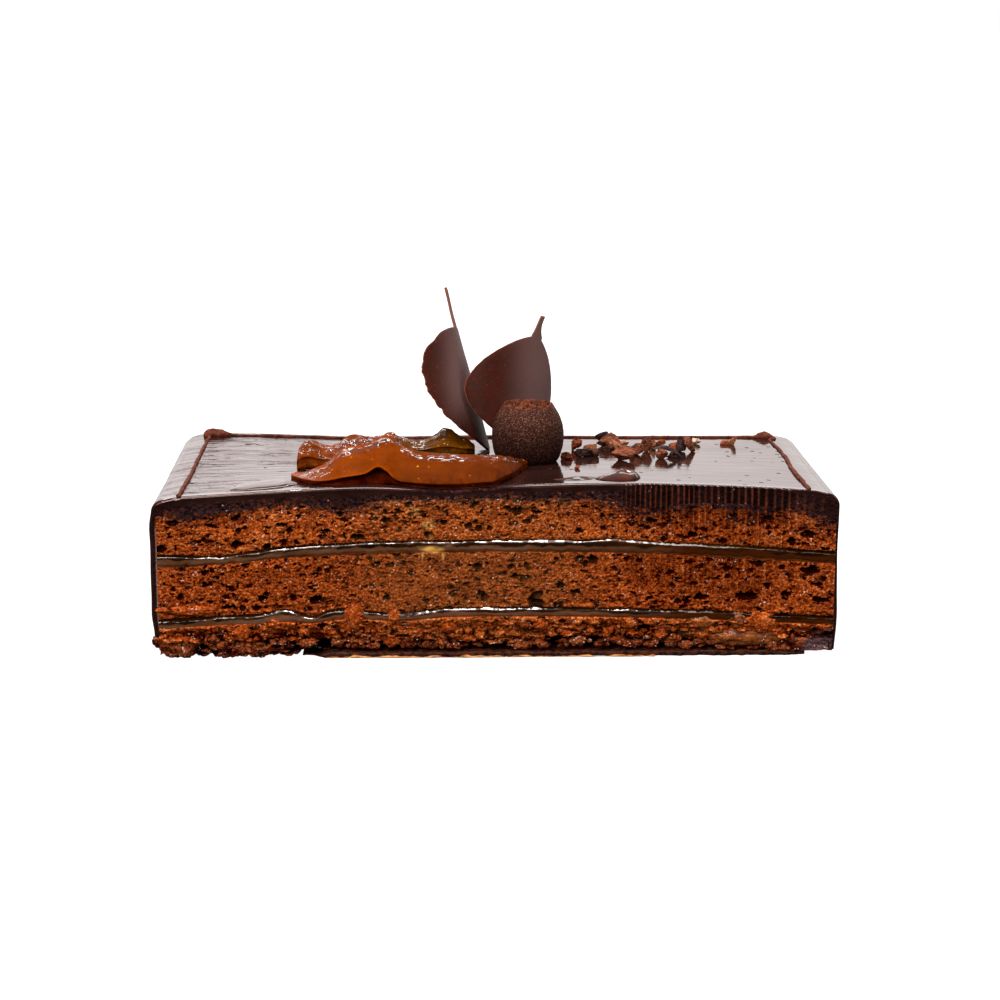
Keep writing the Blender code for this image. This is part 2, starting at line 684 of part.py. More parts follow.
def section_at(sections, place):
    """Section values at a place from 0 to 1 along the fruit, blended smoothly."""
    spot = place * (len(sections) - 1)
    index = min(int(spot), len(sections) - 2)
    share = spot - index
    before = sections[max(index - 1, 0)]
    after = sections[min(index + 2, len(sections) - 1)]
    values = []
    for first, start, end, last in zip(before, sections[index], sections[index + 1], after):
        values.append(0.5 * (2 * start + (end - first) * share
                             + (2 * first - 5 * start + 4 * end - last) * share ** 2
                             + (3 * start - first - 3 * end + last) * share ** 3))
    return values


def build_fruit(name, sections, seed, material):
    """Candied fruit lofted along x over the glaze, with a wrinkled skin."""
    rings = []
    for step in range(FRUIT_STEPS + 1):
        x, foot_y, lip_y, lip_height, ridge_y, ridge_height, back_y = section_at(
            sections, step / FRUIT_STEPS)
        ground = glaze_top(x, foot_y)
        swell_y = blend(lip_y, ridge_y, SWELL_ACROSS) - SWELL_PUSH
        swell_height = blend(lip_height, ridge_height, SWELL_UP)
        outline = [
            Vector((x, foot_y, ground)),
            Vector((x, lip_y, ground + lip_height)),
            Vector((x, swell_y, ground + swell_height)),
            Vector((x, ridge_y, ground + ridge_height * RIDGE_LIFT)),
            Vector((x, blend(ridge_y, back_y, SHOULDER_ACROSS), ground + ridge_height * SHOULDER_UP)),
            Vector((x, back_y, ground)),
        ]
        ring = []
        for point in cut_corners(outline):
            wrinkle = noise.noise(point * WRINKLES_PER_METRE + Vector((seed, 0, 0)))
            point.z += WRINKLE_HEIGHT * wrinkle * min((point.z - ground) / WRINKLE_FADE, 1)
            point.y = max(point.y, FRONT_Y + 0.00005)
            point.z = max(point.z, glaze_top(point.x, point.y) + GAP)
            ring.append(point)
        rings.append(ring)
    make_object(name, loft(rings), material, sharp=60)


def main():
    clear_scene()
    materials = {name: make_material(name) for name in COLOURS}
    build_base(materials["dark_crumb"], materials["chocolate_sheet"])
    build_sponges(materials["sponge"])
    build_jams(materials["jam"])
    build_glaze(materials["glaze"])
    build_curl(materials["rolled_chocolate"])
    for name, leaf in LEAVES.items():
        build_leaf(name, leaf, materials["dark_chocolate"])
    build_fruit("apricot_front", FRUIT["apricot_front"], 1.0, materials["apricot"])
    build_fruit("apricot_left", FRUIT["apricot_left"], 5.0, materials["apricot"])
    build_fruit("apricot_right", FRUIT["apricot_right"], 9.0, materials["olive_apricot"])


main()
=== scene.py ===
"""Looks of the chocolate layer cake portion: high-detail pieces and procedural finishes.

Metres, +Z up. The pieces stand where the packed solids stand, and the camera is the photograph's.
"""

from functools import partial
from math import cos, pi, radians, sin

import bmesh
import bpy
import numpy as np
from mathutils import Euler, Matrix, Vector


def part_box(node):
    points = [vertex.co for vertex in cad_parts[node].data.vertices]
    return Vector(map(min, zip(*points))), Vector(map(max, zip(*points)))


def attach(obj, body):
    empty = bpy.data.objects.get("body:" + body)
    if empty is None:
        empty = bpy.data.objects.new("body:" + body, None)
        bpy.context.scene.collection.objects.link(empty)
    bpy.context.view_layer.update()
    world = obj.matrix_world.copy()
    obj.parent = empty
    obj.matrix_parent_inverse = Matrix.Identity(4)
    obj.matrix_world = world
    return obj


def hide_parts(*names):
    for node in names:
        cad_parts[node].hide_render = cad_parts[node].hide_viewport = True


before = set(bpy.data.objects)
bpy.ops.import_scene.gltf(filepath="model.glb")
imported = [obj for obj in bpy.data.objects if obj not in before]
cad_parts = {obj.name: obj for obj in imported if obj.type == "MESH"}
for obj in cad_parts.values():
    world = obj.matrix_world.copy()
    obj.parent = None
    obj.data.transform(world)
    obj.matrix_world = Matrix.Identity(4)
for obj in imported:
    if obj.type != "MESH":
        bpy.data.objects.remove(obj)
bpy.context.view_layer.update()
MM = 0.001

bl_info = {
    "name": "Chocolate Layer Cake",
    "version": (1, 0, 0),
    "blender": (4, 5, 0),
    "location": "View3D > Sidebar > Cake",
    "description": "Builds a glazed chocolate layer cake with candied fruit and chocolate decorations",
    "category": "Add Mesh",
}

GLAZE_LOW, GLAZE_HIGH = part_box("glaze")
SPONGE_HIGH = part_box("sponge_middle")[1]
HALF_LENGTH = (GLAZE_HIGH.x - GLAZE_LOW.x) / 2
HALF_DEPTH = (GLAZE_HIGH.y - GLAZE_LOW.y) / 2
FRONT_Y = GLAZE_LOW.y
SKIN = HALF_LENGTH - SPONGE_HIGH.x - 0.3 * MM
CORE_HALF = HALF_LENGTH - SKIN
CORE_BACK = HALF_DEPTH - SKIN
CORE_CORNER = 2.8 * MM
CORNER_RADIUS = 4.0 * MM
EDGE_RADIUS = 2.2 * MM
INNER_HALF = HALF_LENGTH - EDGE_RADIUS

# Distance between points along the cut face of each kind of layer
SPONGE_STEP = 0.14 * MM
JAM_STEP = 0.16 * MM
FOOT_STEP = 0.18 * MM
SHEET_STEP = 0.25 * MM

# Foot of the cake: where its lower face passes from the ground onto the chocolate sheet
SHEET_START = -33 * MM

# Glaze: overlap below its lower edge, part of the cut that the knife combed, rows of points on the
# cut band, on the top, down the sides and across a cut end
GLAZE_OVERLAP = 0.25 * MM
COMBING = (18 * MM, 50 * MM)
BAND_ROWS = 13
TOP_ROWS = 30
EDGE_ROWS = 9
FALL_ROWS = 22
END_SPLIT = 5
# Rounded front edge of the glaze: inward and downward share of its size at each step
BEVEL = [(1 - cos(radians(angle)), 1 - sin(radians(angle))) for angle in (12, 28, 45, 62, 78, 90)]
# Hem of the glaze: height at the left and at the right end, and its turn under as (inward, lift) in mm
HEM_LEFT = 3.7 * MM
HEM_RIGHT = 1.5 * MM
HEM_TURN = ((0.35, -0.10), (0.75, -0.08), (1.15, 0.05), (1.2, 0.8), (1.2, 3.2))
# Values that the glaze's colours follow, with what they are on its cut ends
END_VALUES = {"ridge": 0.05, "speck": 0.1, "slot": 0.8, "edge": 0.4, "seam": 0.0, "cut": 0.9}

# Faces between layers, as in the solids: height at the sides, in the middle, bumps (x, width, height)
LEVELS = {
    "crumb_top": (2.9, 3.2, ((-22, 5, 0.7), (12, 8, 0.5))),
    "jam_lower_bottom": (5.2, 7.1, ((-31, 3, -0.5), (-16, 5, -0.6))),
    "jam_lower_top": (6.7, 8.7, ((-35.6, 2.5, 0.6), (-31, 2.2, -0.9), (-26, 2.5, 0.3), (-16, 5, -0.9))),
    "jam_upper_bottom": (15.8, 18.3, ((-46, 7, -0.4),)),
    "jam_upper_top": (17.9, 20.3, ((-46, 7, -1.0), (19.5, 4, 0.4))),
    "glaze_bottom": (25.0, 27.4, ((-51, 5, -1.4), (-26, 4, -1.5), (26, 6, -1.1), (57, 5, -1.3))),
}

# Large tears in the cut sponge: how deep they are, and x, z, half width and half height of each
TEAR_DEPTH = 1.3 * MM
TEARS = (
    (-49.7, 20.2, 0.50, 0.34), (-43.2, 19.8, 1.09, 0.50), (-35.7, 23.0, 0.92, 0.25),
    (-28.5, 22.0, 0.76, 0.25), (-23.2, 20.9, 1.09, 0.42), (-11.8, 24.4, 0.67, 0.25),
    (-8.7, 23.4, 0.59, 0.42), (-11.2, 21.2, 0.76, 0.59), (-47.8, 22.9, 0.76, 0.25),
    (-30.2, 10.1, 1.18, 0.67), (-39.2, 10.3, 0.76, 0.42), (-30.8, 12.0, 0.59, 0.25),
    (-1.9, 10.5, 0.59, 0.67), (52.1, 20.9, 1.18, 0.50), (32.8, 21.0, 0.76, 0.42),
    (6.8, 25.0, 0.84, 0.25), (14.8, 26.0, 0.76, 0.25), (13.9, 21.9, 0.76, 0.34),
    (53.6, 12.4, 0.76, 0.34), (48.8, 10.7, 0.76, 0.42), (42.2, 10.3, 1.85, 0.67),
    (13.4, 11.4, 0.84, 0.42), (6.0, 9.9, 0.50, 0.50), (3.2, 14.1, 0.76, 0.34),
    (10.7, 12.5, 0.76, 0.50), (26.0, 23.4, 0.84, 0.34), (45.5, 12.3, 0.59, 0.42),
    (34.3, 10.3, 1.18, 0.50), (54.2, 9.7, 1.34, 0.34), (-44.6, 9.0, 1.34, 0.34),
    (-4.4, 16.0, 0.50, 0.25), (54.7, 18.6, 0.67, 0.34), (-19.9, 16.4, 0.50, 0.25),
    (-30.1, 14.6, 0.67, 0.25), (-48.7, 14.9, 0.50, 0.42), (24.1, 16.7, 0.50, 0.42),
    (51.9, 15.0, 0.67, 0.42),
)

# Light smears of filling on the cut: x, z, half width, half height, amount
MARKS = (
    (-10.8, 18.65, 1.8, 0.60, 1.3), (-12.3, 17.7, 0.24, 1.0, 0.9), (-8.9, 17.6, 0.24, 1.0, 0.9),
    (-11.4, 23.0, 1.3, 0.9, 0.75), (-13.8, 25.2, 1.3, 0.8, 0.55), (-10.9, 20.9, 0.5, 1.0, 0.45),
)

# Syrup along the ground: first and last x
SYRUP_REACH = (-29.0, 27.0)

# Lumps over the lower jam: first and last x, top and bottom z, kind
LUMPS = (
    (-25.4, -22.4, 9.2, 4.9, "crumb"), (-18.2, -16.2, 8.3, 6.2, "crumb"), (-38.0, -36.6, 7.0, 6.0, "crumb"),
    (41.9, 47.1, 7.5, 4.1, "crumb"), (-56.3, -47.2, 9.2, 7.6, "crumb"), (-43.9, -41.4, 5.9, 3.2, "crumb"),
    (-9.2, -6.8, 6.2, 4.4, "crumb"), (6.4, 8.6, 6.6, 4.8, "crumb"), (21.0, 23.8, 6.9, 5.0, "crumb"),
    (-57.8, -55.7, 4.0, 1.9, "dark"), (-55.8, -53.6, 2.4, 0.2, "dark"), (-53.4, -50.8, 2.2, 0.1, "dark"),
    (32.7, 36.9, 7.2, 4.9, "amber"), (39.1, 42.0, 7.7, 4.9, "amber"), (36.9, 48.0, 4.5, 1.9, "amber"),
)

# Piped line: points along it from the left end round the back to the right end
LINE_BACK_Y = 23.0
LINE_POINTS = (
    (-52.7, -27.9), (-52.6, -12), (-52.5, 6), (-52.3, 20.7), (-50.3, LINE_BACK_Y), (-20, 22.8),
    (15, 23.1), (50.0, LINE_BACK_Y), (51.8, 19), (52.5, 3.4), (52.0, -9), (52.3, -27.9),
)
# Thick corners of the line: x, y, extra radius, reach along the back, reach along the side
LINE_CORNERS = ((-51.4, 22.2, 2.6, 2.9, 1.7), (51.2, 22.2, 2.5, 1.5, 1.4))
# Glaze spilt at the front edge: x, y, half length, half width, height
SMEARS = ((20.6, -22.6, 3.9, 3.4, 1.20), (13.4, -23.0, 3.6, 2.0, 0.16))

# Cocoa nibs: x, y, length, width, height, turn, pitch, arch, look
NIBS = (
    (13.0, -1.9, 2.1, 1.5, 1.5, 20, 0, 0, "red"),
    (16.6, 1.2, 4.0, 1.8, 1.7, 4, 0, 0, "black"),
    (18.3, 1.2, 1.4, 1.6, 1.5, 0, 0, 0, "dark"),
    (17.4, 3.6, 2.6, 1.1, 2.0, 0, 0, 0, "tan"),
    (15.4, 8.2, 1.9, 1.4, 2.4, 10, 0, 0, "red"),
    (21.5, 13.1, 4.6, 2.8, 2.6, -8, 0, 0, "brown"),
    (20.6, 15.2, 2.6, 0.6, 2.7, 0, -28, 0, "black"),
    (21.7, 9.6, 3.1, 0.9, 1.0, 0, 38, 0, "tan"),
    (22.6, 10.6, 2.7, 0.8, 0.9, 0, 38, 0, "tan"),
    (21.0, 8.0, 2.4, 1.4, 1.1, 0, 0, 0, "dark"),
    (24.2, 13.4, 1.9, 1.3, 1.1, 0, 0, 0, "tan"),
    (22.9, -3.6, 4.3, 2.8, 2.6, -10, -12, 0, "brown"),
    (25.6, 3.4, 2.6, 2.2, 2.3, 30, 0, 0, "brown"),
    (27.9, 7.4, 2.1, 1.8, 2.9, 0, 8, 0, "brown"),
    (29.3, 11.2, 1.3, 1.1, 1.9, 0, 0, 0, "tan"),
    (30.9, 15.1, 2.4, 1.6, 1.4, 0, 8, 0, "red"),
    (31.5, 0.6, 5.6, 2.4, 0.8, -6, 17, -0.9, "black"),
    (29.9, -0.8, 2.2, 1.9, 1.9, 0, 0, 0, "brown"),
    (32.3, 0.4, 3.2, 1.2, 1.0, 0, 0, 0, "black"),
    (34.1, 7.6, 2.0, 2.4, 3.0, 10, 0, 0, "black"),
    (35.7, 7.9, 2.3, 2.4, 2.9, 10, 0, 0, "brown"),
    (33.0, 8.4, 2.0, 1.6, 1.6, 0, 0, 0, "red"),
    (37.8, 16.1, 1.5, 1.2, 1.2, 5, 0, 0, "pale"),
    (43.2, 15.9, 2.9, 0.9, 1.0, 26, 0, 0, "red"),
    (44.4, 15.5, 2.6, 0.8, 1.3, -40, -25, 0, "tan"),
    (14.3, -12.6, 1.1, 0.9, 0.8, 0, 0, 0, "red"),
)

# Flat sides that each nib is broken to, and colours of the nibs: dark and light
NIB_SIDES = 11
NIB_LOOKS = {
    "brown": ((0.024, 0.007, 0.004), (0.320, 0.095, 0.045)),
    "red": ((0.085, 0.016, 0.007), (0.420, 0.100, 0.036)),
    "black": ((0.006, 0.003, 0.003), (0.085, 0.042, 0.036)),
    "dark": ((0.012, 0.005, 0.004), (0.120, 0.036, 0.022)),
    "tan": ((0.180, 0.050, 0.018), (0.620, 0.270, 0.120)),
    "pale": ((0.420, 0.260, 0.150), (0.760, 0.600, 0.420)),
}

# How far the lumps of each kind stand back from the cut
LUMP_DEPTHS = {"dark": 0.75, "amber": 0.45, "crumb": 0.20}
# Dark crumbs on the left end: x, y, z, size
END_CRUMBS = ((-56.6, -20.0, 2.2, 1.2), (-56.3, -3.0, 2.4, 1.1), (-56.5, 12.0, 2.1, 1.2))

# Rolled curl: place, outer profile as (height, radius), points round it
CURL_X = 6.0
CURL_Y = -3.5
CURL_PROFILE = (
    (0.0, 4.9), (0.5, 5.4), (1.2, 5.75), (2.4, 6.1), (3.9, 6.33), (5.4, 6.33), (6.9, 6.08), (8.3, 5.55),
    (9.5, 4.85), (10.4, 4.28),
)
CURL_CORNERS = 260

# Chocolate petals: how deep they are stuck in the glaze, then for each the place and turns of its foot,
# the radius of its bend, half widths and heights of petal and stalk, and the shape of its outline
PETAL_SUNK = 0.8
LEAVES = {
    "leaf_left": {
        "foot": (-0.72, 6.80, 29.10), "turn": 83, "tilt": -15.2, "lean": -16.2,
        "bend": 10.76, "left": 12.49, "right": 12.49, "body": 23.0, "stalk": 7.6,
        "stalk_half": 0.35, "flare": 0.3, "stalk_lean": 0.0, "tip_half": 0.22,
        "shape": (0.60, 1.8, 0.62, 2.2, 0.40), "seed": 3,
    },
    "leaf_right": {
        "foot": (4.56, 3.00, 29.15), "turn": 33, "tilt": 9.8, "lean": -16.8,
        "bend": 13.09, "left": 11.95, "right": 6.9, "body": 21.5, "stalk": 3.8,
        "stalk_half": 0.45, "flare": 0.7, "stalk_lean": 0.7, "tip_half": 0.40,
        "shape": (0.51, 2.2, 1.22, 1.43, 0.72), "seed": 11,
    },
}

# Sections of the candied fruit along x: x, foot y, lip y, lip height, ridge y, ridge height, back y
FRUIT = {
    "apricot_front": (
        (-34.7, -17.6, -18.0, 0.5, -17.0, 0.8, -16.0), (-33.9, -19.2, -19.9, 0.6, -17.0, 1.0, -13.5),
        (-32.5, -21.4, -22.4, 0.6, -18.6, 1.1, -13.0), (-31.2, -23.4, -24.4, 0.7, -19.2, 1.6, -12.4),
        (-29.8, -24.6, -25.6, 0.7, -19.6, 2.2, -12.0), (-28.4, -23.9, -26.1, 0.8, -19.8, 2.9, -12.0),
        (-27.0, -22.8, -26.2, 1.0, -20.0, 4.2, -12.0), (-25.6, -21.8, -26.2, 1.3, -20.0, 5.3, -12.0),
        (-23.6, -21.0, -26.0, 1.5, -20.0, 5.6, -12.0), (-21.7, -20.6, -25.8, 1.8, -20.0, 6.1, -12.0),
        (-19.8, -20.4, -25.6, 2.8, -20.0, 7.0, -12.0), (-18.4, -20.8, -25.8, 2.2, -20.0, 7.3, -12.2),
        (-17.2, -22.4, -26.2, 1.1, -20.2, 7.0, -12.3), (-16.0, -24.8, -26.8, 0.7, -20.4, 6.1, -12.4),
        (-14.0, -26.0, -27.3, 0.7, -21.0, 5.3, -12.4), (-10.5, -26.6, -27.8, 0.8, -21.6, 5.1, -12.0),
        (-6.5, -26.9, -27.9, 0.8, -21.8, 5.0, -11.6), (-2.5, -27.1, -27.9, 0.8, -21.8, 4.5, -11.2),
        (-0.3, -26.8, -27.9, 0.8, -21.6, 4.2, -10.9), (1.1, -24.3, -25.6, 0.8, -20.4, 3.7, -10.6),
        (2.6, -21.3, -22.6, 0.8, -18.2, 3.0, -10.4), (4.0, -17.0, -18.0, 0.8, -15.4, 2.3, -10.3),
        (5.0, -12.8, -13.6, 0.8, -12.4, 1.7, -10.3), (5.7, -11.4, -11.8, 0.7, -11.2, 1.1, -10.2),
    ),
    "apricot_left": (
        (-34.2, -10.2, -10.6, 1.0, -9.6, 1.9, -8.3), (-33.8, -10.6, -11.3, 2.0, -9.2, 3.9, -6.8),
        (-32.6, -10.8, -11.2, 2.3, -8.4, 5.0, -5.0), (-31.4, -10.9, -11.0, 2.1, -7.4, 4.8, -3.6),
        (-30.2, -10.9, -10.9, 1.8, -6.6, 4.0, -2.4), (-28.6, -10.9, -10.8, 1.6, -5.8, 3.5, -1.4),
        (-27.1, -10.9, -10.8, 1.7, -5.4, 3.6, -0.8), (-26.0, -11.0, -10.8, 1.9, -5.2, 4.6, -0.4),
        (-24.4, -11.0, -10.8, 2.0, -5.2, 5.1, -0.2), (-22.0, -11.1, -10.9, 2.1, -5.2, 4.8, -0.2),
        (-19.8, -11.1, -11.0, 2.3, -5.4, 5.0, -0.6), (-17.8, -11.0, -11.1, 2.4, -6.2, 5.5, -1.6),
        (-16.5, -10.4, -10.6, 1.8, -7.0, 4.4, -3.4), (-15.6, -9.4, -9.5, 1.0, -7.5, 2.2, -5.4),
    ),
    "apricot_right": (
        (-19.3, 1.8, 1.7, 1.0, 3.0, 2.0, 4.2), (-18.0, 0.4, 0.2, 1.8, 3.4, 4.0, 6.2),
        (-15.8, -0.2, -0.3, 1.5, 3.8, 3.0, 7.8), (-13.6, -0.3, -0.4, 1.4, 4.0, 2.6, 8.5),
        (-11.6, -0.2, -0.3, 1.5, 4.1, 2.9, 9.0), (-10.2, 0.0, -0.1, 1.7, 4.4, 3.6, 9.0),
        (-9.0, 0.2, 0.2, 1.8, 4.8, 4.4, 9.0), (-7.6, 0.5, 0.5, 1.7, 4.8, 4.3, 8.7),
        (-6.2, 0.9, 0.9, 1.4, 4.6, 3.5, 8.3), (-4.4, 1.9, 1.8, 1.1, 4.5, 2.6, 7.1),
        (-3.2, 3.2, 3.1, 0.8, 4.5, 1.6, 5.8),
    ),
}

# Puddle of gel beside the front fruit: place and half sizes
PUDDLE_PLACE = (-38.6, -22.6)
PUDDLE_HALF = (5.6, 4.2, 0.45)

# Camera of the photograph: lens for a 36 mm sensor, place in mm, angles in degrees
CAMERA_LENS = 86.04
CAMERA_PLACE = (-7.3, -417.4, 108.4)
CAMERA_DOWN = 11.79
CAMERA_YAW = 1.17

# Floor, light of the room below and above, and lamps: name, place in metres, width, height, radiance
FLOOR_REACH = 8.0
ROOM_LOW = 0.06
ROOM_HIGH = 0.38
GROUND_BEHIND = 0.85
WARM = (1.0, 0.925, 0.910)
LAMPS = (
    ("back_panel", (0.0, 1.30, 0.32), 2.6, 0.52, 1.19),
    ("back_left", (-0.37, 1.28, 0.33), 0.5, 0.60, 0.24),
    ("rim_strip", (0.0, 0.85, 0.72), 1.3, 0.07, 15.0),
    ("key_panel", (-0.50, -0.80, 0.75), 0.6, 0.6, 9.5),
    ("fill_panel", (0.85, -0.60, 0.40), 0.5, 0.5, 4.0),
    ("top_strip", (0.0, -0.10, 1.05), 0.84, 0.22, 17.0),
)


class CakeSizes(bpy.types.PropertyGroup):
    """Sizes of the cake that set its detail."""
    side_height: bpy.props.FloatProperty(
        name="Side height", description="Height of the glaze at the sides",
        default=0.0281, min=0.01, max=0.1, subtype="DISTANCE")
    crown: bpy.props.FloatProperty(
        name="Crown", description="Rise of the top at the middle of the cut",
        default=0.0016, min=0, max=0.01, subtype="DISTANCE")
    line_radius: bpy.props.FloatProperty(
        name="Piped line radius", description="Radius of the piped chocolate line",
        default=0.00046, min=0.0001, max=0.003, subtype="DISTANCE")
    pore_count: bpy.props.IntProperty(
        name="Pores", description="Pores in each 1000 square mm of cut sponge",
        default=900, min=0, max=3000)
    crumb_count: bpy.props.IntProperty(
        name="Crumbs", description="Loose crumbs along the foot of the cut",
        default=210, min=0, max=1000)


class CakeColours(bpy.types.PropertyGroup):
    """Main colours of the cake."""
    sponge: bpy.props.FloatVectorProperty(
        name="Sponge", description="Colour of the sponge", subtype="COLOR", size=3,
        default=(0.370, 0.068, 0.010), min=0, max=1)
    jam: bpy.props.FloatVectorProperty(
        name="Jam", description="Colour of the jam layers", subtype="COLOR", size=3,
        default=(0.052, 0.020, 0.007), min=0, max=1)
    glaze: bpy.props.FloatVectorProperty(
        name="Glaze", description="Colour of the chocolate glaze", subtype="COLOR", size=3,
        default=(0.022, 0.008, 0.006), min=0, max=1)
    apricot: bpy.props.FloatVectorProperty(
        name="Apricot", description="Colour of the candied fruit", subtype="COLOR", size=3,
        default=(0.125, 0.0215, 0.0005), min=0, max=1)
    chocolate: bpy.props.FloatVectorProperty(
        name="Chocolate", description="Colour of the chocolate petals", subtype="COLOR", size=3,
        default=(0.052, 0.014, 0.009), min=0, max=1)


def sizes():
    """Size settings of the open scene."""
    return bpy.context.scene.cake_sizes


def colours():
    """Colour settings of the open scene."""
    return bpy.context.scene.cake_colours


class Wire:
    """A shader socket that adds Math nodes when it is used in an expression."""

    def __init__(self, nodes, socket):
        self.nodes = nodes
        self.socket = socket

    def _math(self, operation, left, right):
        return self.nodes.node("ShaderNodeMath", {"operation": operation}, {0: left, 1: right})

    def __add__(self, other):
        return self._math("ADD", self, other)

    def __radd__(self, other):
        return self._math("ADD", other, self)

    def __sub__(self, other):
        return self._math("SUBTRACT", self, other)

    def __rsub__(self, other):
        return self._math("SUBTRACT", other, self)

    def __mul__(self, other):
        return self._math("MULTIPLY", self, other)

    def __rmul__(self, other):
        return self._math("MULTIPLY", other, self)


class Nodes:
    """Node tree of a material or a world, with one method that adds its nodes."""

    def __init__(self, tree):
        self.tree = tree

    def node(self, kind, settings=None, values=None, output=0):
        """Adds any node and returns one of its outputs."""
        made = self.tree.nodes.new(kind)
        for label, value in (settings or {}).items():
            if label == "stops":
                self._stops(made.color_ramp, value)
            else:
                setattr(made, label, value)
        for label, value in (values or {}).items():
            self.feed(made.inputs[label], value)
        return Wire(self, made.outputs[output])

    def _stops(self, ramp, stops):
        while len(ramp.elements) < len(stops):
            ramp.elements.new(0.5)
        for element, (position, colour) in zip(ramp.elements, stops):
            element.position = position
            element.color = (*colour, 1)

    def feed(self, socket, value):
        """Links a wire to a socket, or sets a plain value on it."""
        if isinstance(value, Wire):
            self.tree.links.new(value.socket, socket)
        elif hasattr(value, "__len__") and len(value) == 3 and socket.type == "RGBA":
            socket.default_value = (*value, 1)
        else:
            socket.default_value = value

    def along(self, axis, vector):
        """One coordinate of a vector."""
        return self.node("ShaderNodeSeparateXYZ", None, {0: vector}, axis)

    def ranged(self, value, low, high, start=0.0, end=1.0):
        """Value stretched from one range to another, held inside it."""
        values = {"Value": value, "From Min": low, "From Max": high, "To Min": start, "To Max": end}
        return self.node("ShaderNodeMapRange", {"clamp": True}, values)

    def mix(self, factor, first, second):
        """Colour between two colours."""
        settings = {"data_type": "RGBA", "clamp_factor": True}
        return self.node("ShaderNodeMix", settings, {0: factor, 6: first, 7: second}, 2)


class Finish(Nodes):
    """Procedural material built round one Principled shader."""

    def __init__(self, name, **uniform):
        self.material = bpy.data.materials.new(name)
        self.material.use_nodes = True
        super().__init__(self.material.node_tree)
        self.shader = self.tree.nodes["Principled BSDF"]
        for label, value in uniform.items():
            self.set(label.replace("_", " "), value)
        self.place = self.node("ShaderNodeTexCoord", output="Object")

    def set(self, label, value):
        """Feeds one socket of the Principled shader."""
        self.feed(self.shader.inputs[label], value)

    def stretched(self, scale):
        """Object coordinates stretched along the axes."""
        return self.node("ShaderNodeVectorMath", {"operation": "MULTIPLY"}, {0: self.place, 1: scale})

    def noise(self, scale, detail=4, roughness=0.6, place=None, distortion=0):
        """Noise from about 0.3 to 0.7, scale in features per metre."""
        values = {"Vector": place or self.place, "Scale": scale, "Detail": detail,
                  "Roughness": roughness, "Distortion": distortion}
        return self.node("ShaderNodeTexNoise", None, values)

    def cells(self, scale):
        """Distance to the nearest middle of a cell pattern."""
        return self.node("ShaderNodeTexVoronoi", None, {"Vector": self.place, "Scale": scale}, "Distance")

    def painted_glints(self, colour, scale, low, high, tone):
        """Colour with sparse tiny bright dots, as wet grains have."""
        dots = self.ranged(self.cells(scale), 0.26, 0.14) * self.ranged(self.noise(scale / 3, 2), low, high)
        return self.mix(dots, colour, tone)

    def written(self, name):
        """Value that the mesh carries under a name."""
        return self.node("ShaderNodeAttribute", {"attribute_name": name}, None, "Fac")

    def height(self):
        """Height of the point above the ground."""
        return self.along("Z", self.place)

    def bumps(self, height, distance):
        """Normal of a bumpy surface; distance in metres."""
        return self.node("ShaderNodeBump", None, {"Height": height, "Distance": distance}, "Normal")

    def bump(self, height, distance):
        """Bump that feeds the shader's normal; distance in metres."""
        self.set("Normal", self.bumps(height, distance))

    def blend(self, factor, values):
        """Mixes in a second Principled shader with values of its own."""
        second = self.node("ShaderNodeBsdfPrincipled", None, values)
        first = Wire(self, self.shader.outputs[0])
        mixed = self.node("ShaderNodeMixShader", None, {0: factor, 1: first, 2: second})
        self.feed(self.tree.nodes["Material Output"].inputs["Surface"], mixed)


def scaled(colour, factor):
    """Colour made darker or lighter by a factor."""
    return tuple(channel * factor for channel in colour)


def hashed(x, y, z, seed):
    """Even random values from -1 to 1 for whole-number places."""
    value = x * 374761393 + y * 668265263 + z * 2147483647 + seed * 974634777
    value = (value ^ (value >> 13)) * 1274126177
    value = (value ^ (value >> 16)) & 0xFFFFFF
    return value / 0x7FFFFF - 1


def rough(x, y=0.0, z=0.0, seed=0):
    """Smooth noise from -1 to 1 on arrays of places, one unit between its grid points."""
    x, y, z = np.broadcast_arrays(*(np.asarray(axis, float) for axis in (x, y, z)))
    whole = [np.floor(axis).astype(np.int64) for axis in (x, y, z)]
    parts = [axis - base for axis, base in zip((x, y, z), whole)]
    shares = [part * part * (3 - 2 * part) for part in parts]
    total = np.zeros(x.shape)
    for corner in range(8):
        steps = [(corner >> axis) & 1 for axis in range(3)]
        weight = 1
        for step, share in zip(steps, shares):
            weight = weight * (share if step else 1 - share)
        total += weight * hashed(*(base + step for base, step in zip(whole, steps)), seed)
    return total


def rougher(x, y=0.0, z=0.0, seed=0, octaves=3):
    """Sum of noises, each half as large and twice as fine."""
    total = 0
    for octave in range(octaves):
        factor = 2 ** octave
        total = total + rough(x * factor, y * factor, z * factor, seed + octave * 17) / factor
    return total / 1.6


def eased(value, low, high):
    """Smooth step from 0 to 1 between two limits."""
    share = np.clip((value - low) / (high - low), 0, 1)
    return share * share * (3 - 2 * share)


def crown_share(x, y):
    """Share of the crown at a place: most at the middle of the cut, none at the back."""
    return (1 - (x / HALF_LENGTH) ** 2) * np.clip(0.5 - y / (2 * HALF_DEPTH), 0, 1)


def level(name, x, y):
    """Height of a face between two layers."""
    side, middle, bumps = LEVELS[name]
    height = side + (middle - side) * crown_share(x, y)
    for centre, width, amount in bumps:
        height = height + amount * np.exp(-((x / MM - centre) / width) ** 2)
    return height * MM


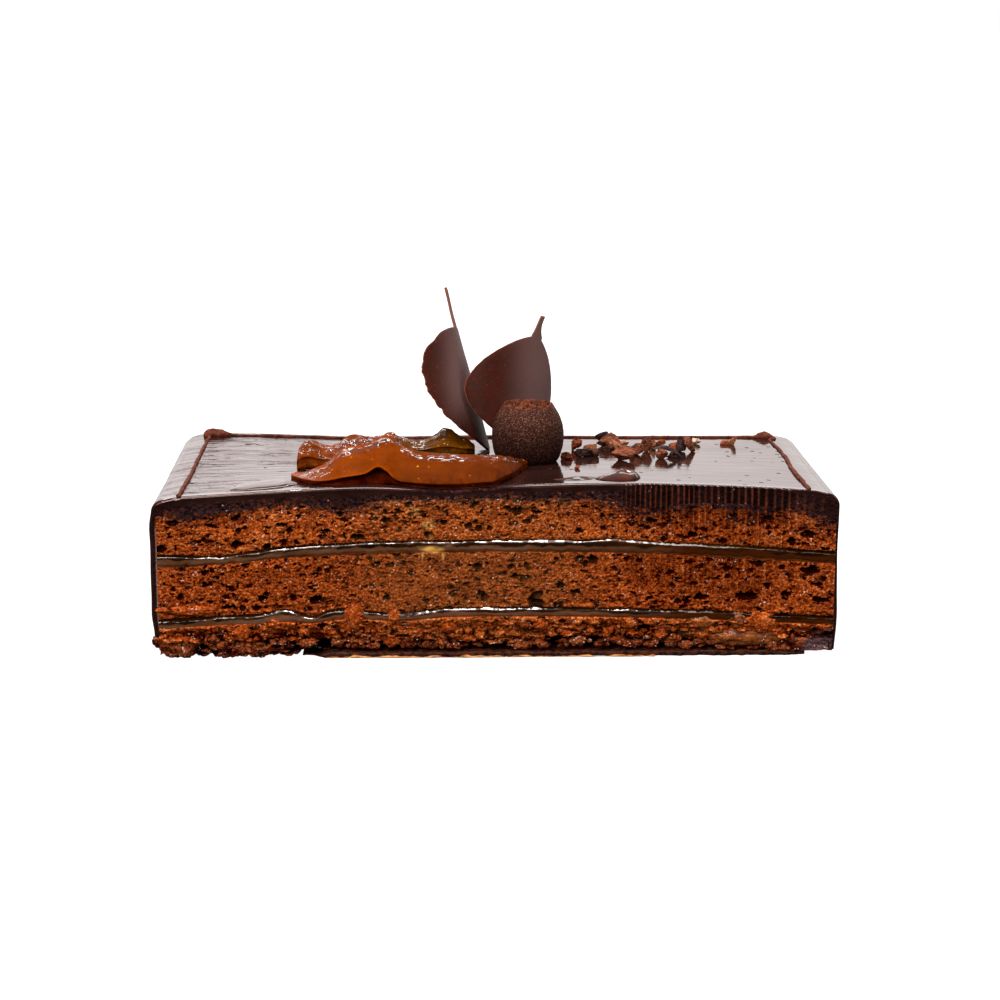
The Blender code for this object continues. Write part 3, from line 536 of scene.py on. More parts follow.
def uneven(x, y):
    """Slow rise and fall of the poured top, as in the solid."""
    across = x / HALF_LENGTH
    along = y / HALF_DEPTH
    front = np.clip((0.3 - along) / 1.3, 0, 1)
    back = np.clip((0.3 + along) / 1.3, 0, 1)
    right = eased(across, 0.05, 0.4) * (1 - 0.45 * eased(across, 0.6, 1.0))
    near = -0.5 * eased(-across, 0.3, 0.95) + 0.42 * right
    far = 0.9 * eased(-across, 0.3, 0.9) + 0.25 * eased(1 - np.abs(across) / 0.45, 0, 1)
    return (near * front + far * back) * MM


def glaze_top(x, y):
    """Height of the glaze: crowned, uneven, low at the sides and sagging at the front under the fruit."""
    sag = 0.9 * MM * np.exp(-((x + 8 * MM) / (9 * MM)) ** 2) * np.clip((-y - 21 * MM) / (6 * MM), 0, 1)
    past = np.clip((np.abs(x) - 51.5 * MM) / (3.8 * MM), 0, 1)
    crown = sizes().crown * crown_share(x, y)
    return sizes().side_height + crown + uneven(x, y) - sag - 0.45 * MM * past ** 2


def corner_back(x, half_length, back, radius):
    """Back of the plan at x, round at both upright corners."""
    past = np.maximum(np.abs(x) - (half_length - radius), 0)
    return back - radius + np.sqrt(np.maximum(radius ** 2 - past ** 2, 0))


def grid_faces(rows, across, offset=0, closed=False):
    """Quads of a grid of points, closed across where asked."""
    row = np.arange(rows - 1)[:, None] * across
    here = np.arange(across if closed else across - 1)[None]
    following = (here + 1) % across
    quads = np.stack([row + here, row + following, row + across + following, row + across + here], -1)
    return quads.reshape(-1, 4) + offset


def place_piece(name, points, faces, finish, slot_name, nodes=(), values=None, sharp=None):
    """Piece from arrays of points and faces, which rides on the cake."""
    mesh = bpy.data.meshes.new(name)
    mesh.from_pydata(np.asarray(points).reshape(-1, 3).tolist(), [], faces)
    bm = bmesh.new()
    bm.from_mesh(mesh)
    bmesh.ops.recalc_face_normals(bm, faces=bm.faces)
    bm.to_mesh(mesh)
    bm.free()
    for label, numbers in (values or {}).items():
        stored = mesh.attributes.new(label, "FLOAT", "POINT")
        stored.data.foreach_set("value", np.asarray(numbers, np.float32).reshape(-1))
    mesh.shade_smooth()
    if sharp is not None:
        mesh.set_sharp_from_angle(angle=radians(sharp))
    mesh.materials.append(finish.material)
    piece = bpy.data.objects.new(name, mesh)
    bpy.context.scene.collection.objects.link(piece)
    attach(piece, "root")
    if nodes:
        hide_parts(*nodes)
    return piece


def ring_faces(count, points_each, offset=0):
    """Faces of a closed loft through equal rings, with both ends."""
    faces = grid_faces(count, points_each, offset, closed=True).tolist()
    faces.append(list(range(offset, offset + points_each)))
    last = offset + (count - 1) * points_each
    faces.append(list(range(last, last + points_each)))
    return faces


def join_lists(groups):
    """One list of points and faces from several closed bodies."""
    points = []
    faces = []
    offset = 0
    for body_points, body_faces in groups:
        points.append(np.asarray(body_points).reshape(-1, 3))
        faces += [[index + offset for index in face] for face in body_faces]
        offset += len(points[-1])
    return np.concatenate(points), faces


def run_length(path):
    """Distance along a path at each of its points."""
    return np.concatenate([[0], np.cumsum(np.linalg.norm(np.diff(path, axis=0), axis=1))])


def spline(before, start, end, after, share):
    """Smooth curve between two points, led by the points before and after them."""
    return 0.5 * (2 * start + (end - before) * share
                  + (2 * before - 5 * start + 4 * end - after) * share ** 2
                  + (3 * start - before - 3 * end + after) * share ** 3)


def stain_marks(x, z):
    """Light smears of filling that the knife left on the cut."""
    marks = np.zeros(np.shape(x))
    for centre_x, centre_z, wide, high, amount in MARKS:
        reach = ((x / MM - centre_x) / wide) ** 2 + ((z / MM - centre_z) / high) ** 2
        marks = np.maximum(marks, amount * np.exp(-reach ** 1.5))
    uneven_edge = 1.0 + 0.7 * rougher(x / (1.1 * MM), z / (0.7 * MM), 0, 41, 2)
    return np.clip(marks * uneven_edge - 0.10, 0, 1)


def comb_ridge(x):
    """Share of the combing at x, and thin ridges between the grooves, which widen to the right."""
    past = np.maximum(x / MM - 20, 0)
    beat = np.log1p(0.020 * past / 0.72) / 0.020 + 0.25 * rough(x / (2.6 * MM), 0, 0, 85)
    ridge = np.exp(-((beat % 1 - 0.5) / 0.13) ** 2)
    inside = eased(x, 19 * MM, 24 * MM) * (1 - 0.6 * eased(x, 46 * MM, 52 * MM))
    return inside, ridge


def comb(x):
    """Upright grooves that the knife's teeth left, from 0 to 1."""
    inside, ridge = comb_ridge(x)
    return inside * (1 - ridge) * (0.85 + 0.3 * rough(x / (1.1 * MM), 0, 0, 86))


def dent(depth, warp_x, warp_z, spots, centre_x, centre_z, half_wide, half_high, deep):
    """Deepens the face by one flat pore."""
    first, last = np.searchsorted(spots, (centre_x - 2 * half_wide, centre_x + 2 * half_wide))
    window = slice(first, last)
    reach = ((warp_x[:, window] - centre_x) / half_wide) ** 2
    reach += ((warp_z[:, window] - centre_z) / half_high) ** 2
    depth[:, window] = np.maximum(depth[:, window], deep * np.clip(1.15 - reach, 0, 1) ** 0.5)


def cut_pores(x, z, draw, count, low, high):
    """Depth of the pores in a cut face: large tears, random pores and fine cracks."""
    depth = np.zeros(x.shape)
    warp_x = x + 0.40 * MM * rougher(x / (0.55 * MM), z / (0.45 * MM), 0, 5, 3)
    warp_z = z + 0.32 * MM * rougher(x / (0.55 * MM), z / (0.40 * MM), 0, 9, 3)
    spots = x[0]
    dig = partial(dent, depth, warp_x, warp_z, spots)
    for tear in TEARS:
        centre_x, centre_z, half_wide, half_high = (size * MM for size in tear)
        if low.min() < centre_z < high.max():
            dig(centre_x, centre_z, half_wide, half_high, TEAR_DEPTH)
    for _ in range(count):
        centre_x = draw.uniform(-CORE_HALF, CORE_HALF)
        share = draw.uniform(0.02, 0.98)
        half_wide = min(draw.lognormal(-1.6, 0.55), 1.1) * MM
        half_high = max(half_wide * draw.uniform(0.35, 0.9), 0.08 * MM)
        middle = np.searchsorted(spots, centre_x)
        centre_z = low[middle] + (high[middle] - low[middle]) * share
        dig(centre_x, centre_z, half_wide, half_high, 1.8 * half_high)
    loose = 0.5 + 0.5 * rough(x / (6 * MM), z / (3 * MM), 0, 14)
    cracks = rougher(warp_x / (0.80 * MM), warp_z / (0.48 * MM), 0, 15, 3)
    fine = 0.80 * MM * np.clip(cracks - 0.36 + 0.18 * loose, 0, 1)
    return np.maximum(depth, fine)


def spread(x):
    """Outward shift of the core's ends, where the coat is thinner than in the solid."""
    return MM * (0.6 * eased(x, 50 * MM, CORE_HALF) - 0.3 * eased(-x, 50 * MM, CORE_HALF))


def slab_piece(name, node, bottom, top, rows, step, front, finish, slot_name):
    """Layer through the cake with a finely split cut face."""
    even = np.arange(-CORE_HALF + CORE_CORNER, CORE_HALF - CORE_CORNER, step)
    bends = CORE_HALF - CORE_CORNER + CORE_CORNER * np.sin(np.radians(np.arange(0, 91, 3)))
    spots = np.concatenate([-bends[::-1], even[1:], bends])
    low = bottom(spots, FRONT_Y)
    high = top(spots, FRONT_Y)
    share = np.linspace(0, 1, rows + 1)[:, None]
    z = low + (high - low) * share
    x = np.broadcast_to(spots, z.shape)
    depth, values = front(x, z, share, low, high)
    face = np.stack([x, FRONT_Y + depth, z], -1)
    back = corner_back(spots, CORE_HALF, CORE_BACK, CORE_CORNER)
    top_back = np.stack([spots, back, top(spots, back)], -1)[None]
    low_back = np.stack([spots, back, bottom(spots, back)], -1)[None]
    points = np.concatenate([face, top_back, low_back], 0).transpose(1, 0, 2)
    points[..., 0] += spread(points[..., 0])
    numbers = {}
    for label, grid in values.items():
        # Back rows carry part of the foot's painted hollow shade
        behind = np.full((2, len(spots)), 0.45 * (label == "cave"))
        numbers[label] = np.concatenate([grid, behind], 0).T
    return place_piece(name, points, ring_faces(len(spots), rows + 3), finish, slot_name, (node,),
                       numbers, sharp=70)


def sponge_finish():
    """Open crumb of a chocolate sponge, darker in its pores and where the glaze soaked in."""
    finish = Finish("sponge_crumb", Specular_IOR_Level=0.0, Coat_Roughness=0.10)
    base = tuple(colours().sponge)
    patches = finish.ranged(finish.noise(260, 3), 0.35, 0.65)
    grains = finish.ranged(finish.noise(3000, 3, 0.6), 0.38, 0.62)
    # Colour from the layer's tone and from painted light and shade: raised crumbs lighter up to golden
    # highlights, recessed crumb darker
    value = finish.written("relief") * 0.60 + grains * 0.46 + patches * 0.12 - 0.06
    colour = finish.node("ShaderNodeValToRGB", {"stops": (
        (0.0, (0.030, 0.0012, 0.0003)), (0.33, (0.250, 0.040, 0.0060)), (0.62, scaled(base, 1.38)),
        (0.84, (0.72, 0.250, 0.062)), (1.0, (0.95, 0.54, 0.23)))}, {"Fac": value})
    # Painted shade: pores and fine cracks turn near black, as shade in them would look
    deep = finish.ranged(finish.written("pore"), 0.04, 0.5)
    crack_shade = finish.noise(1, 3, 0.62, finish.stretched((900, 1500, 2000)))
    deep = 1 - (1 - deep) * (1 - finish.ranged(crack_shade, 0.60, 0.66))
    colour = finish.mix(deep, colour, finish.mix(grains, (0.010, 0.0006, 0.0002), (0.060, 0.004, 0.001)))
    soaked = finish.mix(grains, (0.006, 0.002, 0.002), (0.055, 0.022, 0.022))
    colour = finish.mix(finish.written("soak"), colour, soaked)
    smeared = finish.mix(grains, (0.52, 0.22, 0.045), (0.95, 0.54, 0.16))
    colour = finish.painted_glints(colour, 1500, 0.58, 0.62, (0.90, 0.64, 0.50))
    finish.set("Base Color", finish.mix(finish.written("mark"), colour, smeared))
    finish.set("Roughness", 0.85 - grains * 0.2)
    finish.set("Coat Weight", finish.ranged(finish.noise(1100, 2), 0.61, 0.65))
    finish.bump(finish.noise(3200, 4, 0.7), 0.00022)
    return finish


def corner_film(x, z):
    """Greyish film on the right lower corner of the cut."""
    ragged = 0.12 * rougher(x / (1.2 * MM), z / (1.2 * MM), 0, 69)
    return eased(1 - ((x / MM - 56.5) / 5.4) ** 2 - ((z / MM - 0.8) / 4.6) ** 2 + ragged, 0, 0.25)


def bottom_tears(x, z, share):
    """Tears in the lower part of the bottom sponge: their depth, and how dark their hollows are."""
    torn = 1 - 1.7 * np.abs(rougher(x / (2.3 * MM), z / (1.5 * MM), 0, 51, 3))
    return torn * (1 - eased(share, 0.4, 1.0)), eased(torn * (1 - eased(share, 0.30, 0.70)), 0.60, 0.85)


def middle_drag(x, z, share, seed):
    """Depth of the faint drags in the middle sponge and of the sag above the lower jam."""
    faint = np.exp(-((x + 18 * MM) / (7 * MM)) ** 2)
    drags = 0.16 * MM * faint * np.maximum(rough(x / (0.42 * MM), z / (7 * MM), 0, seed + 6), 0)
    sag = np.exp(-((share - 0.06) / 0.07) ** 2)
    return drags + 0.9 * MM * sag * np.clip(rougher(x / (3.0 * MM), z / (0.8 * MM), 0, 52), -0.2, 1)


def glaze_soak(x, z, high, cuts):
    """Dark stain where the glaze soaked into the top sponge, from 0 to 1."""
    reach = 0.95 * MM * (1.25 + 0.9 * rough(x / (5 * MM), 0, 0, 77)) * np.ones(x.shape)
    soak = 1.5 * np.exp(-np.clip(high - z, 0, 1) / reach)
    soak = soak + 0.75 * rougher(x / (0.8 * MM), z / (0.6 * MM), 0, 78) - 0.30
    return np.clip(soak + 0.3 * cuts * soak, 0, 1)


def sponge_front(name, draw, seed, grooves, x, z, share, low, high):
    """Depth of a sponge layer's cut face, with the values that its colours follow."""
    area = (high - low).mean() * 2 * CORE_HALF / MM ** 2
    pores = cut_pores(x, z, draw, int(sizes().pore_count / 1000 * area), low, high)
    crumb = 0.62 * (1 - 2.4 * np.abs(rougher(x / (0.62 * MM), z / (0.50 * MM), 0, seed, 3)))
    crumb = crumb + 0.45 * rougher(x / (0.30 * MM), z / (0.26 * MM), 0, seed + 4, 2)
    waves = 0.24 * MM * rough(x / (5.2 * MM), z / (2.6 * MM), 0, seed + 8)
    reach = 1 - eased(x, 44 * MM, 50 * MM) if name == "sponge_middle" else 1
    cuts = comb(x) * (0.35 + 0.65 * eased(share, 0.1, 0.75)) * reach * grooves
    depth = pores * (1 - 0.3 * cuts) - 0.20 * MM * crumb + waves + 0.40 * MM * cuts
    edge = np.minimum(share, 1 - share) * (high - low)
    depth = depth + 0.22 * MM * np.exp(-edge / (0.14 * MM))
    # Painted shade in the pores and in the comb grooves
    pore = np.clip(pores / (0.55 * MM) + 0.34 * cuts, 0, 1)
    haze = np.exp(-((x + 4 * MM) / (20 * MM)) ** 4)
    pale = 0.05
    soak = 0 * haze
    light = 0.30
    if name == "sponge_top":
        soak = glaze_soak(x, z, high, cuts)
    elif name == "sponge_middle":
        depth = depth + middle_drag(x, z, share, seed)
        crumb = crumb * (1 - 0.3 * haze)
        soak = 0.13 * haze
        pale = 0.08
        light = 0.20
    else:
        torn, hollow = bottom_tears(x, z, share)
        depth = depth + (1.3 * torn - 0.45) * MM
        crumb = crumb - 0.5 * torn
        film = corner_film(x, z)
        soak = 0.85 * film
        # Painted shade also blackens the deep tear hollows
        pore = np.maximum(pore, hollow) * (1 - film)
    mark = np.maximum(stain_marks(x, z), pale * haze)
    if name == "sponge_bottom":
        smear = np.exp(-((x - 38 * MM) / (9 * MM)) ** 2)
        smear = smear * np.clip(0.5 + rougher(x / (2.6 * MM), z / (1.4 * MM), 0, 44), 0, 1) * 0.18
        mark = np.maximum(mark, smear)
    # Layer tone plus painted shade that follows the crumb's height, darker in the comb grooves
    relief = np.clip(light + 0.62 * crumb - 0.15 * cuts, 0, 1)
    return depth, {"pore": pore, "soak": soak, "mark": mark, "relief": relief}


def build_sponges():
    """Three sponge layers with pores, torn crumb and knife drags at the cut."""
    finish = sponge_finish()
    draw = np.random.default_rng(21)
    for name, low_name, high_name, rows, seed, grooves in (
        ("sponge_bottom", "crumb_top", "jam_lower_bottom", 30, 3, 0.0),
        ("sponge_middle", "jam_lower_top", "jam_upper_bottom", 78, 7, 0.7),
        ("sponge_top", "jam_upper_top", "glaze_bottom", 58, 12, 1.0),
    ):
        front = partial(sponge_front, name, draw, seed, grooves)
        slab_piece(name + "_crumb", name, partial(level, low_name), partial(level, high_name), rows,
                   SPONGE_STEP, front, finish, "sponge")


def jam_finish():
    """Thick brown jam with a wet gloss, dark under its edge and lighter below."""
    finish = Finish("apricot_jam", IOR=1.5, Specular_IOR_Level=0.20, Specular_Tint=(1.0, 0.86, 0.76),
                    Coat_Roughness=0.04, Coat_IOR=2.0)
    base = tuple(colours().jam)
    cloud = finish.ranged(finish.noise(240, 4, place=finish.stretched((0.5, 1, 2.4))), 0.36, 0.64)
    # Lower colour: the jam's own brown with a painted grey reflection, darker towards the right end
    light = finish.mix(cloud, scaled(base, 2.2), (0.190, 0.090, 0.048))
    right = finish.ranged(finish.along("X", finish.place), 0.018, 0.032)
    light = finish.mix(right, light, (0.062, 0.013, 0.001))
    dark = finish.mix(cloud, (0.010, 0.003, 0.0005), (0.040, 0.012, 0.002))
    # Painted shade under the sponge's edge along the top of the jam
    edge = finish.ranged(finish.written("rim") + finish.noise(500, 3) * 0.5 - 0.25, 0.15, 0.65)
    colour = finish.mix(edge, light, dark)
    crumb = finish.ranged(finish.written("foot") + finish.noise(1100, 3) * 1.6 - 0.8, 0.35, 0.65)
    colour = finish.mix(crumb, colour, finish.mix(cloud, (0.11, 0.022, 0.004), (0.26, 0.066, 0.014)))
    finish.set("Base Color", finish.mix(finish.written("mark"), colour, (0.90, 0.46, 0.10)))
    finish.set("Roughness", 0.10 + cloud * 0.10 + crumb * 0.5)
    finish.set("Coat Weight", finish.written("wet"))
    finish.bump(finish.noise(1000, 3), 0.000012)
    return finish


def jam_front(seed, x, z, share, low, high):
    """Depth of a jam layer's cut face: a low bulge with a wet, broken shoulder along the upper edge."""
    share = share * np.ones(x.shape)
    thick = (high - low) / MM
    start = 1 - (0.50 + 0.10 * rough(x / (2.2 * MM), 0, 0, seed + 4)) / thick
    below = 1 - eased(share, start - 0.12, start + 0.02)
    swell = 0.26 + 0.16 * rough(x / (7 * MM), 0, 0, seed)
    swell = swell + 0.12 * below * rough(x / (1.1 * MM), 0, 0, seed + 1)
    swell = swell + 0.08 * below * rough(x / (0.5 * MM), z / (0.7 * MM), 0, seed + 3)
    bulge = swell * (0.25 + 0.75 * share) * eased(share, 0, 0.25)
    slope = 1.27 + 0.07 * rough(x / (2.4 * MM), 0, 0, seed + 6)
    slope = slope + 0.07 * rough(x / (0.6 * MM), 0, 0, seed + 7)
    slope = slope + 1.3 * eased(np.abs(x + 4 * MM), 44 * MM, 50 * MM)
    shoulder = np.maximum(share - start, 0) * thick * slope
    ripple = 0.04 * below * rough(x / (0.8 * MM), z / (0.5 * MM), 0, seed + 2)
    depth = (0.10 - 0.16 * eased(share, 0, 0.3) - bulge + shoulder + ripple) * MM
    border = 0.60 + 0.12 * rough(x / (4.0 * MM), 0, 0, seed + 8)
    border = border + 0.10 * rough(x / (1.3 * MM), 0, 0, seed + 9)
    # Share of painted shade below the sponge's edge
    rim = eased(share, border - 0.16, border + 0.16)
    broken = 0.9 + 1.6 * rough(x / (1.5 * MM), 0, 0, seed + 10)
    broken = broken + 1.4 * rough(x / (0.4 * MM), 0, 0, seed + 11)
    broken = np.clip(broken, 0, 1) * (1 - 0.88 * eased(x, 18 * MM, 32 * MM))
    wet = eased(share, start - 0.08, start + 0.04) * broken
    foot = 1 - eased(share, 0.0, 0.30)
    return depth, {"rim": rim, "foot": foot, "mark": stain_marks(x, z), "wet": wet}


def jam_bottom(name, x, y):
    """Lower face of a jam layer, uneven at the cut."""
    ragged = 0.30 * MM * rougher(x / (1.1 * MM), 0, 0, 131)
    if name == "jam_lower_bottom":
        ragged = ragged - 0.5 * MM * (1 - eased(x, -40 * MM, -33 * MM))
    return level(name, x, y) - 0.05 * MM + ragged * (np.asarray(y) < 0)


def jam_top(name, x, y):
    """Upper face of a jam layer, just inside the sponge."""
    return level(name, x, y) + 0.05 * MM


def build_jams():
    """Two jam layers that bulge from the cut."""
    finish = jam_finish()
    for name, low_name, high_name, rows, seed in (
        ("jam_lower", "jam_lower_bottom", "jam_lower_top", 18, 31),
        ("jam_upper", "jam_upper_bottom", "jam_upper_top", 22, 37),
    ):
        slab_piece(name + "_gel", name, partial(jam_bottom, low_name), partial(jam_top, high_name), rows,
                   JAM_STEP, partial(jam_front, seed), finish, "jam")


def crumb_finish():
    """Dark, moist crumbs of the cake's foot, black in the hollows, with wet sparkles."""
    finish = Finish("dark_crumb", Specular_IOR_Level=0.0, Coat_Roughness=0.08)
    grains = finish.ranged(finish.noise(2100, 5, 0.75), 0.40, 0.60)
    patches = finish.ranged(finish.noise(480, 4, 0.65) + finish.height() * 22, 0.47, 0.60)
    dark = finish.mix(grains, (0.008, 0.0008, 0.0006), (0.110, 0.014, 0.006))
    light = finish.mix(grains, (0.130, 0.020, 0.006), (0.560, 0.150, 0.042))
    colour = finish.mix(patches, dark, light)
    # Painted shade: deep hollows of the torn face turn near black
    colour = finish.mix(finish.written("cave"), colour, (0.003, 0.0006, 0.0004))
    film = finish.mix(grains, (0.060, 0.028, 0.028), (0.200, 0.105, 0.105))
    colour = finish.mix(finish.written("film"), colour, film)
    finish.set("Base Color", finish.painted_glints(colour, 1500, 0.52, 0.55, (1.0, 0.78, 0.66)))
    finish.set("Roughness", 0.75 - grains * 0.2)
    finish.set("Coat Weight", finish.ranged(finish.noise(900, 2), 0.57, 0.63))
    finish.bump(finish.noise(3000, 3, 0.7), 0.00016)
    return finish


def sheet_finish():
    """Thin dark chocolate sheet under the cake."""
    finish = Finish("chocolate_sheet", Specular_IOR_Level=0.3, Specular_Tint=(1.0, 0.75, 0.65))
    grains = finish.ranged(finish.noise(1200, 4), 0.4, 0.62)
    finish.set("Base Color", finish.mix(grains, (0.010, 0.002, 0.001), (0.085, 0.018, 0.007)))
    finish.set("Roughness", 0.35 + grains * 0.35)
    finish.bump(finish.noise(1800, 3), 0.00014)
    return finish


def foot_bottom(x, y):
    """Lower face of the foot: on the ground at the left, on the sheet at the right, ragged at the cut."""
    cut_side = np.asarray(y) < 0
    ragged = 1.3 * MM * np.clip(rougher(x / (1.6 * MM), 0, 0, 61) + 0.14, 0, 1) * cut_side
    raised = 1.1 * MM * np.exp(-((x - 13 * MM) / (10 * MM)) ** 2) * cut_side
    share = eased(x, SHEET_START - 0.6 * MM, SHEET_START + 0.6 * MM)
    low = 1.25 * MM - 0.45 * MM * eased(x, 44 * MM, 50 * MM)
    return ragged * 0.6 * (1 - share) + (low + raised + 0.4 * ragged) * share


def foot_front(x, z, share, low, high):
    """Depth of the foot's torn face, shallow at the right end, and its dark hollows."""
    crag = 1.5 * (1 - 1.6 * np.abs(rougher(x / (1.8 * MM), z / (1.2 * MM), 0, 63, 4)))
    crag += 2.6 * np.clip(rougher(x / (4.5 * MM), z / (1.6 * MM), 0, 64) + 0.05, 0, 1)
    crag += 0.35 * (1 - 1.6 * np.abs(rough(x / (0.5 * MM), z / (0.4 * MM), 0, 66))) - 0.5
    crag = crag * (1 - 0.85 * eased(x, 45 * MM, 50 * MM))
    return crag * MM, {"cave": eased(crag, 0.85, 1.6), "film": corner_film(x, z)}


def build_base():
    """Torn dark crumb at the foot of the cake, the thin sheet below it and the syrup at their seam."""
    slab_piece("crumb_foot", "crumb_base", foot_bottom, partial(level, "crumb_top"), 22, FOOT_STEP,
               foot_front, crumb_finish(), "dark_crumb")
    build_sheet()
    build_syrup()


def build_sheet():
    """Thin chocolate sheet with a broken, rounded front edge."""
    low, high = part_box("base_sheet")
    spots = np.arange(low.x, high.x, SHEET_STEP)
    rows = 6
    angle = np.linspace(-pi / 2, pi / 2, rows)[:, None]
    thick = (high.z - low.z) * (1 - 0.35 * eased(spots, 44 * MM, 52 * MM))
    thick = thick * (1 + 0.16 * rough(spots / (2.2 * MM), 0, 0, 71))
    thick = thick * (0.25 + 0.75 * eased(spots, low.x + 2.0 * MM, low.x + 5.5 * MM))
    edge = 0.35 * MM * rougher(spots / (3.1 * MM), 0, 0, 72)
    edge = edge + 0.22 * MM * rougher(spots / (0.8 * MM), 0, 0, 73)
    edge = edge + 0.5 * MM * eased(spots, 49 * MM, 52.5 * MM)
    edge = edge + 1.5 * MM * (1 - eased(spots, low.x + 1.5 * MM, low.x + 3.5 * MM))
    lip = FRONT_Y + 0.35 * MM + edge - 0.18 * MM * np.cos(angle)
    z = thick * (0.5 + 0.5 * np.sin(angle))
    face = np.stack([np.broadcast_to(spots, z.shape), lip, z], -1)
    back = np.full(spots.shape, high.y)
    tail = [np.stack([spots, back, thick], -1)[None], np.stack([spots, back, 0 * thick], -1)[None]]
    points = np.concatenate([face, *tail], 0).transpose(1, 0, 2)
    place_piece("base_sheet_edge", points, ring_faces(len(spots), rows + 2), sheet_finish(),
                "chocolate_sheet", ("base_sheet",), sharp=60)


def build_syrup():
    """Thin line of golden syrup that seeped out along the ground."""
    spots = np.arange(*SYRUP_REACH, 0.3) * MM
    angle = np.linspace(0, 2 * pi, 10, endpoint=False)
    thick = 0.20 * MM * np.clip(0.75 + 0.8 * rougher(spots / (1.7 * MM), 0, 0, 75), 0.2, 1.4)
    centre_y = FRONT_Y - 0.06 * MM + 0.12 * MM * rough(spots / (2.3 * MM), 0, 0, 76)
    rings = np.stack([
        np.broadcast_to(spots[:, None], (len(spots), len(angle))),
        centre_y[:, None] + 2 * thick[:, None] * np.cos(angle),
        thick[:, None] * (1 + np.sin(angle)),
    ], -1)
    finish = Finish("golden_syrup", IOR=1.45, Roughness=0.15, Subsurface_Weight=0.3, Subsurface_Scale=0.001)
    amount = finish.ranged(finish.noise(300, 3), 0.4, 0.6)
    finish.set("Base Color", finish.mix(amount, (0.20, 0.05, 0.01), (0.72, 0.34, 0.10)))
    place_piece("syrup_seam", rings, ring_faces(len(spots), len(angle)), finish, "jam")


def ball(subdivisions):
    """Points and faces of a unit ball."""
    bm = bmesh.new()
    bmesh.ops.create_icosphere(bm, subdivisions=subdivisions, radius=1)
    points = np.array([vertex.co[:] for vertex in bm.verts])
    faces = [[vertex.index for vertex in face.verts] for face in bm.faces]
    bm.free()
    return points, faces


def torn_ball(points, seed, fine, full, torn, grain):
    """Unit ball with a torn surface: its fineness, its fullness, and what the tears and grains take."""
    a, b, c = (points * fine).T
    left = full - torn * np.abs(rougher(a + seed, b, c, seed, 3)) - grain * rough(a * 3, b * 3, c * 3, seed)
    return points * left[:, None]


def crumb_body(points, x, y, z, size, stretch, seed):
    """Points of one torn crumb that stands on the ground or above it."""
    body = torn_ball(points, seed, 1.5, 1.25, 0.75, 0.16) * np.array(stretch) * size
    return body + np.array([x, y, max(z, -body[:, 2].min())])


def scattered_crumbs(shapes):
    """Loose crumbs along the foot of the cut, drawn at random, by turns light and dark."""
    draw = np.random.default_rng(8)
    for index in range(sizes().crumb_count):
        x = draw.uniform(-54.5, 53.0) * MM
        light = index % 2 == 0
        size = float(np.clip(draw.lognormal(-0.75, 0.4), 0.22, 1.1)) * MM
        z = (draw.uniform(2.6, 5.0) if light else draw.uniform(0.7, 3.4)) * MM
        if x >= SHEET_START:
            z = max(z, 1.9 * MM)
        stretch = [draw.uniform(0.8, 1.5), draw.uniform(0.45, 0.8), draw.uniform(0.55, 0.95)]
        y = FRONT_Y + draw.uniform(0.4, 1.3) * MM
        points, faces = shapes[4 if size > 0.75 * MM else 3]
        yield "crumb" if light else "dark", (crumb_body(points, x, y, z, size, stretch, index), faces)


def lump_finish():
    """Wet lumps of apricot jam."""
    finish = Finish("jam_lumps", IOR=1.48, Specular_IOR_Level=0.5, Subsurface_Weight=0.2,
                    Subsurface_Scale=0.001)
    cloud = finish.ranged(finish.noise(900, 4, 0.65), 0.40, 0.60)
    finish.set("Base Color", finish.mix(cloud, (0.090, 0.018, 0.003), (0.360, 0.098, 0.016)))
    finish.set("Roughness", 0.10 + cloud * 0.12)
    finish.bump(finish.noise(900, 4), 0.00022)
    return finish


def build_crumbs():
    """Torn lumps of sponge, dark crumbs and jam lumps that cling along the foot of the cut."""
    shapes = {3: ball(3), 4: ball(4)}
    bodies = {"dark": [], "crumb": [], "amber": []}
    for kind, body in scattered_crumbs(shapes):
        bodies[kind].append(body)
    points, faces = shapes[4]
    for index, (first, last, top, bottom, kind) in enumerate(LUMPS):
        half = np.array([(last - first) / 2, 0.75, (top - bottom) / 2])
        middle = [(first + last) / 2, FRONT_Y / MM + LUMP_DEPTHS[kind], (top + bottom) / 2]
        body = torn_ball(points, 400 + index, 1.7, 1.22, 0.62, 0.10) * half + np.array(middle)
        bodies[kind].append((body * MM, faces))
    for x, y, z, size in END_CRUMBS:
        body = crumb_body(points, x * MM, y * MM, z * MM, size * MM, (1, 1, 0.9), 5)
        bodies["dark"].append((body, faces))
    for kind, name, finish, slot_name in (
        ("dark", "loose_crumbs", crumb_finish(), "dark_crumb"),
        ("crumb", "torn_lumps", sponge_finish(), "sponge"),
        ("amber", "jam_lumps", lump_finish(), "jam"),
    ):
        joined, joined_faces = join_lists(bodies[kind])
        x, y, z = joined.T / MM
        # For the loose pieces this value is only a random tone
        relief = np.clip(0.42 + 0.5 * rougher(x / 0.5, y / 0.5, z / 0.5, 79, 3), 0, 1)
        place_piece(name, joined, joined_faces, finish, slot_name, values={"relief": relief}, sharp=80)


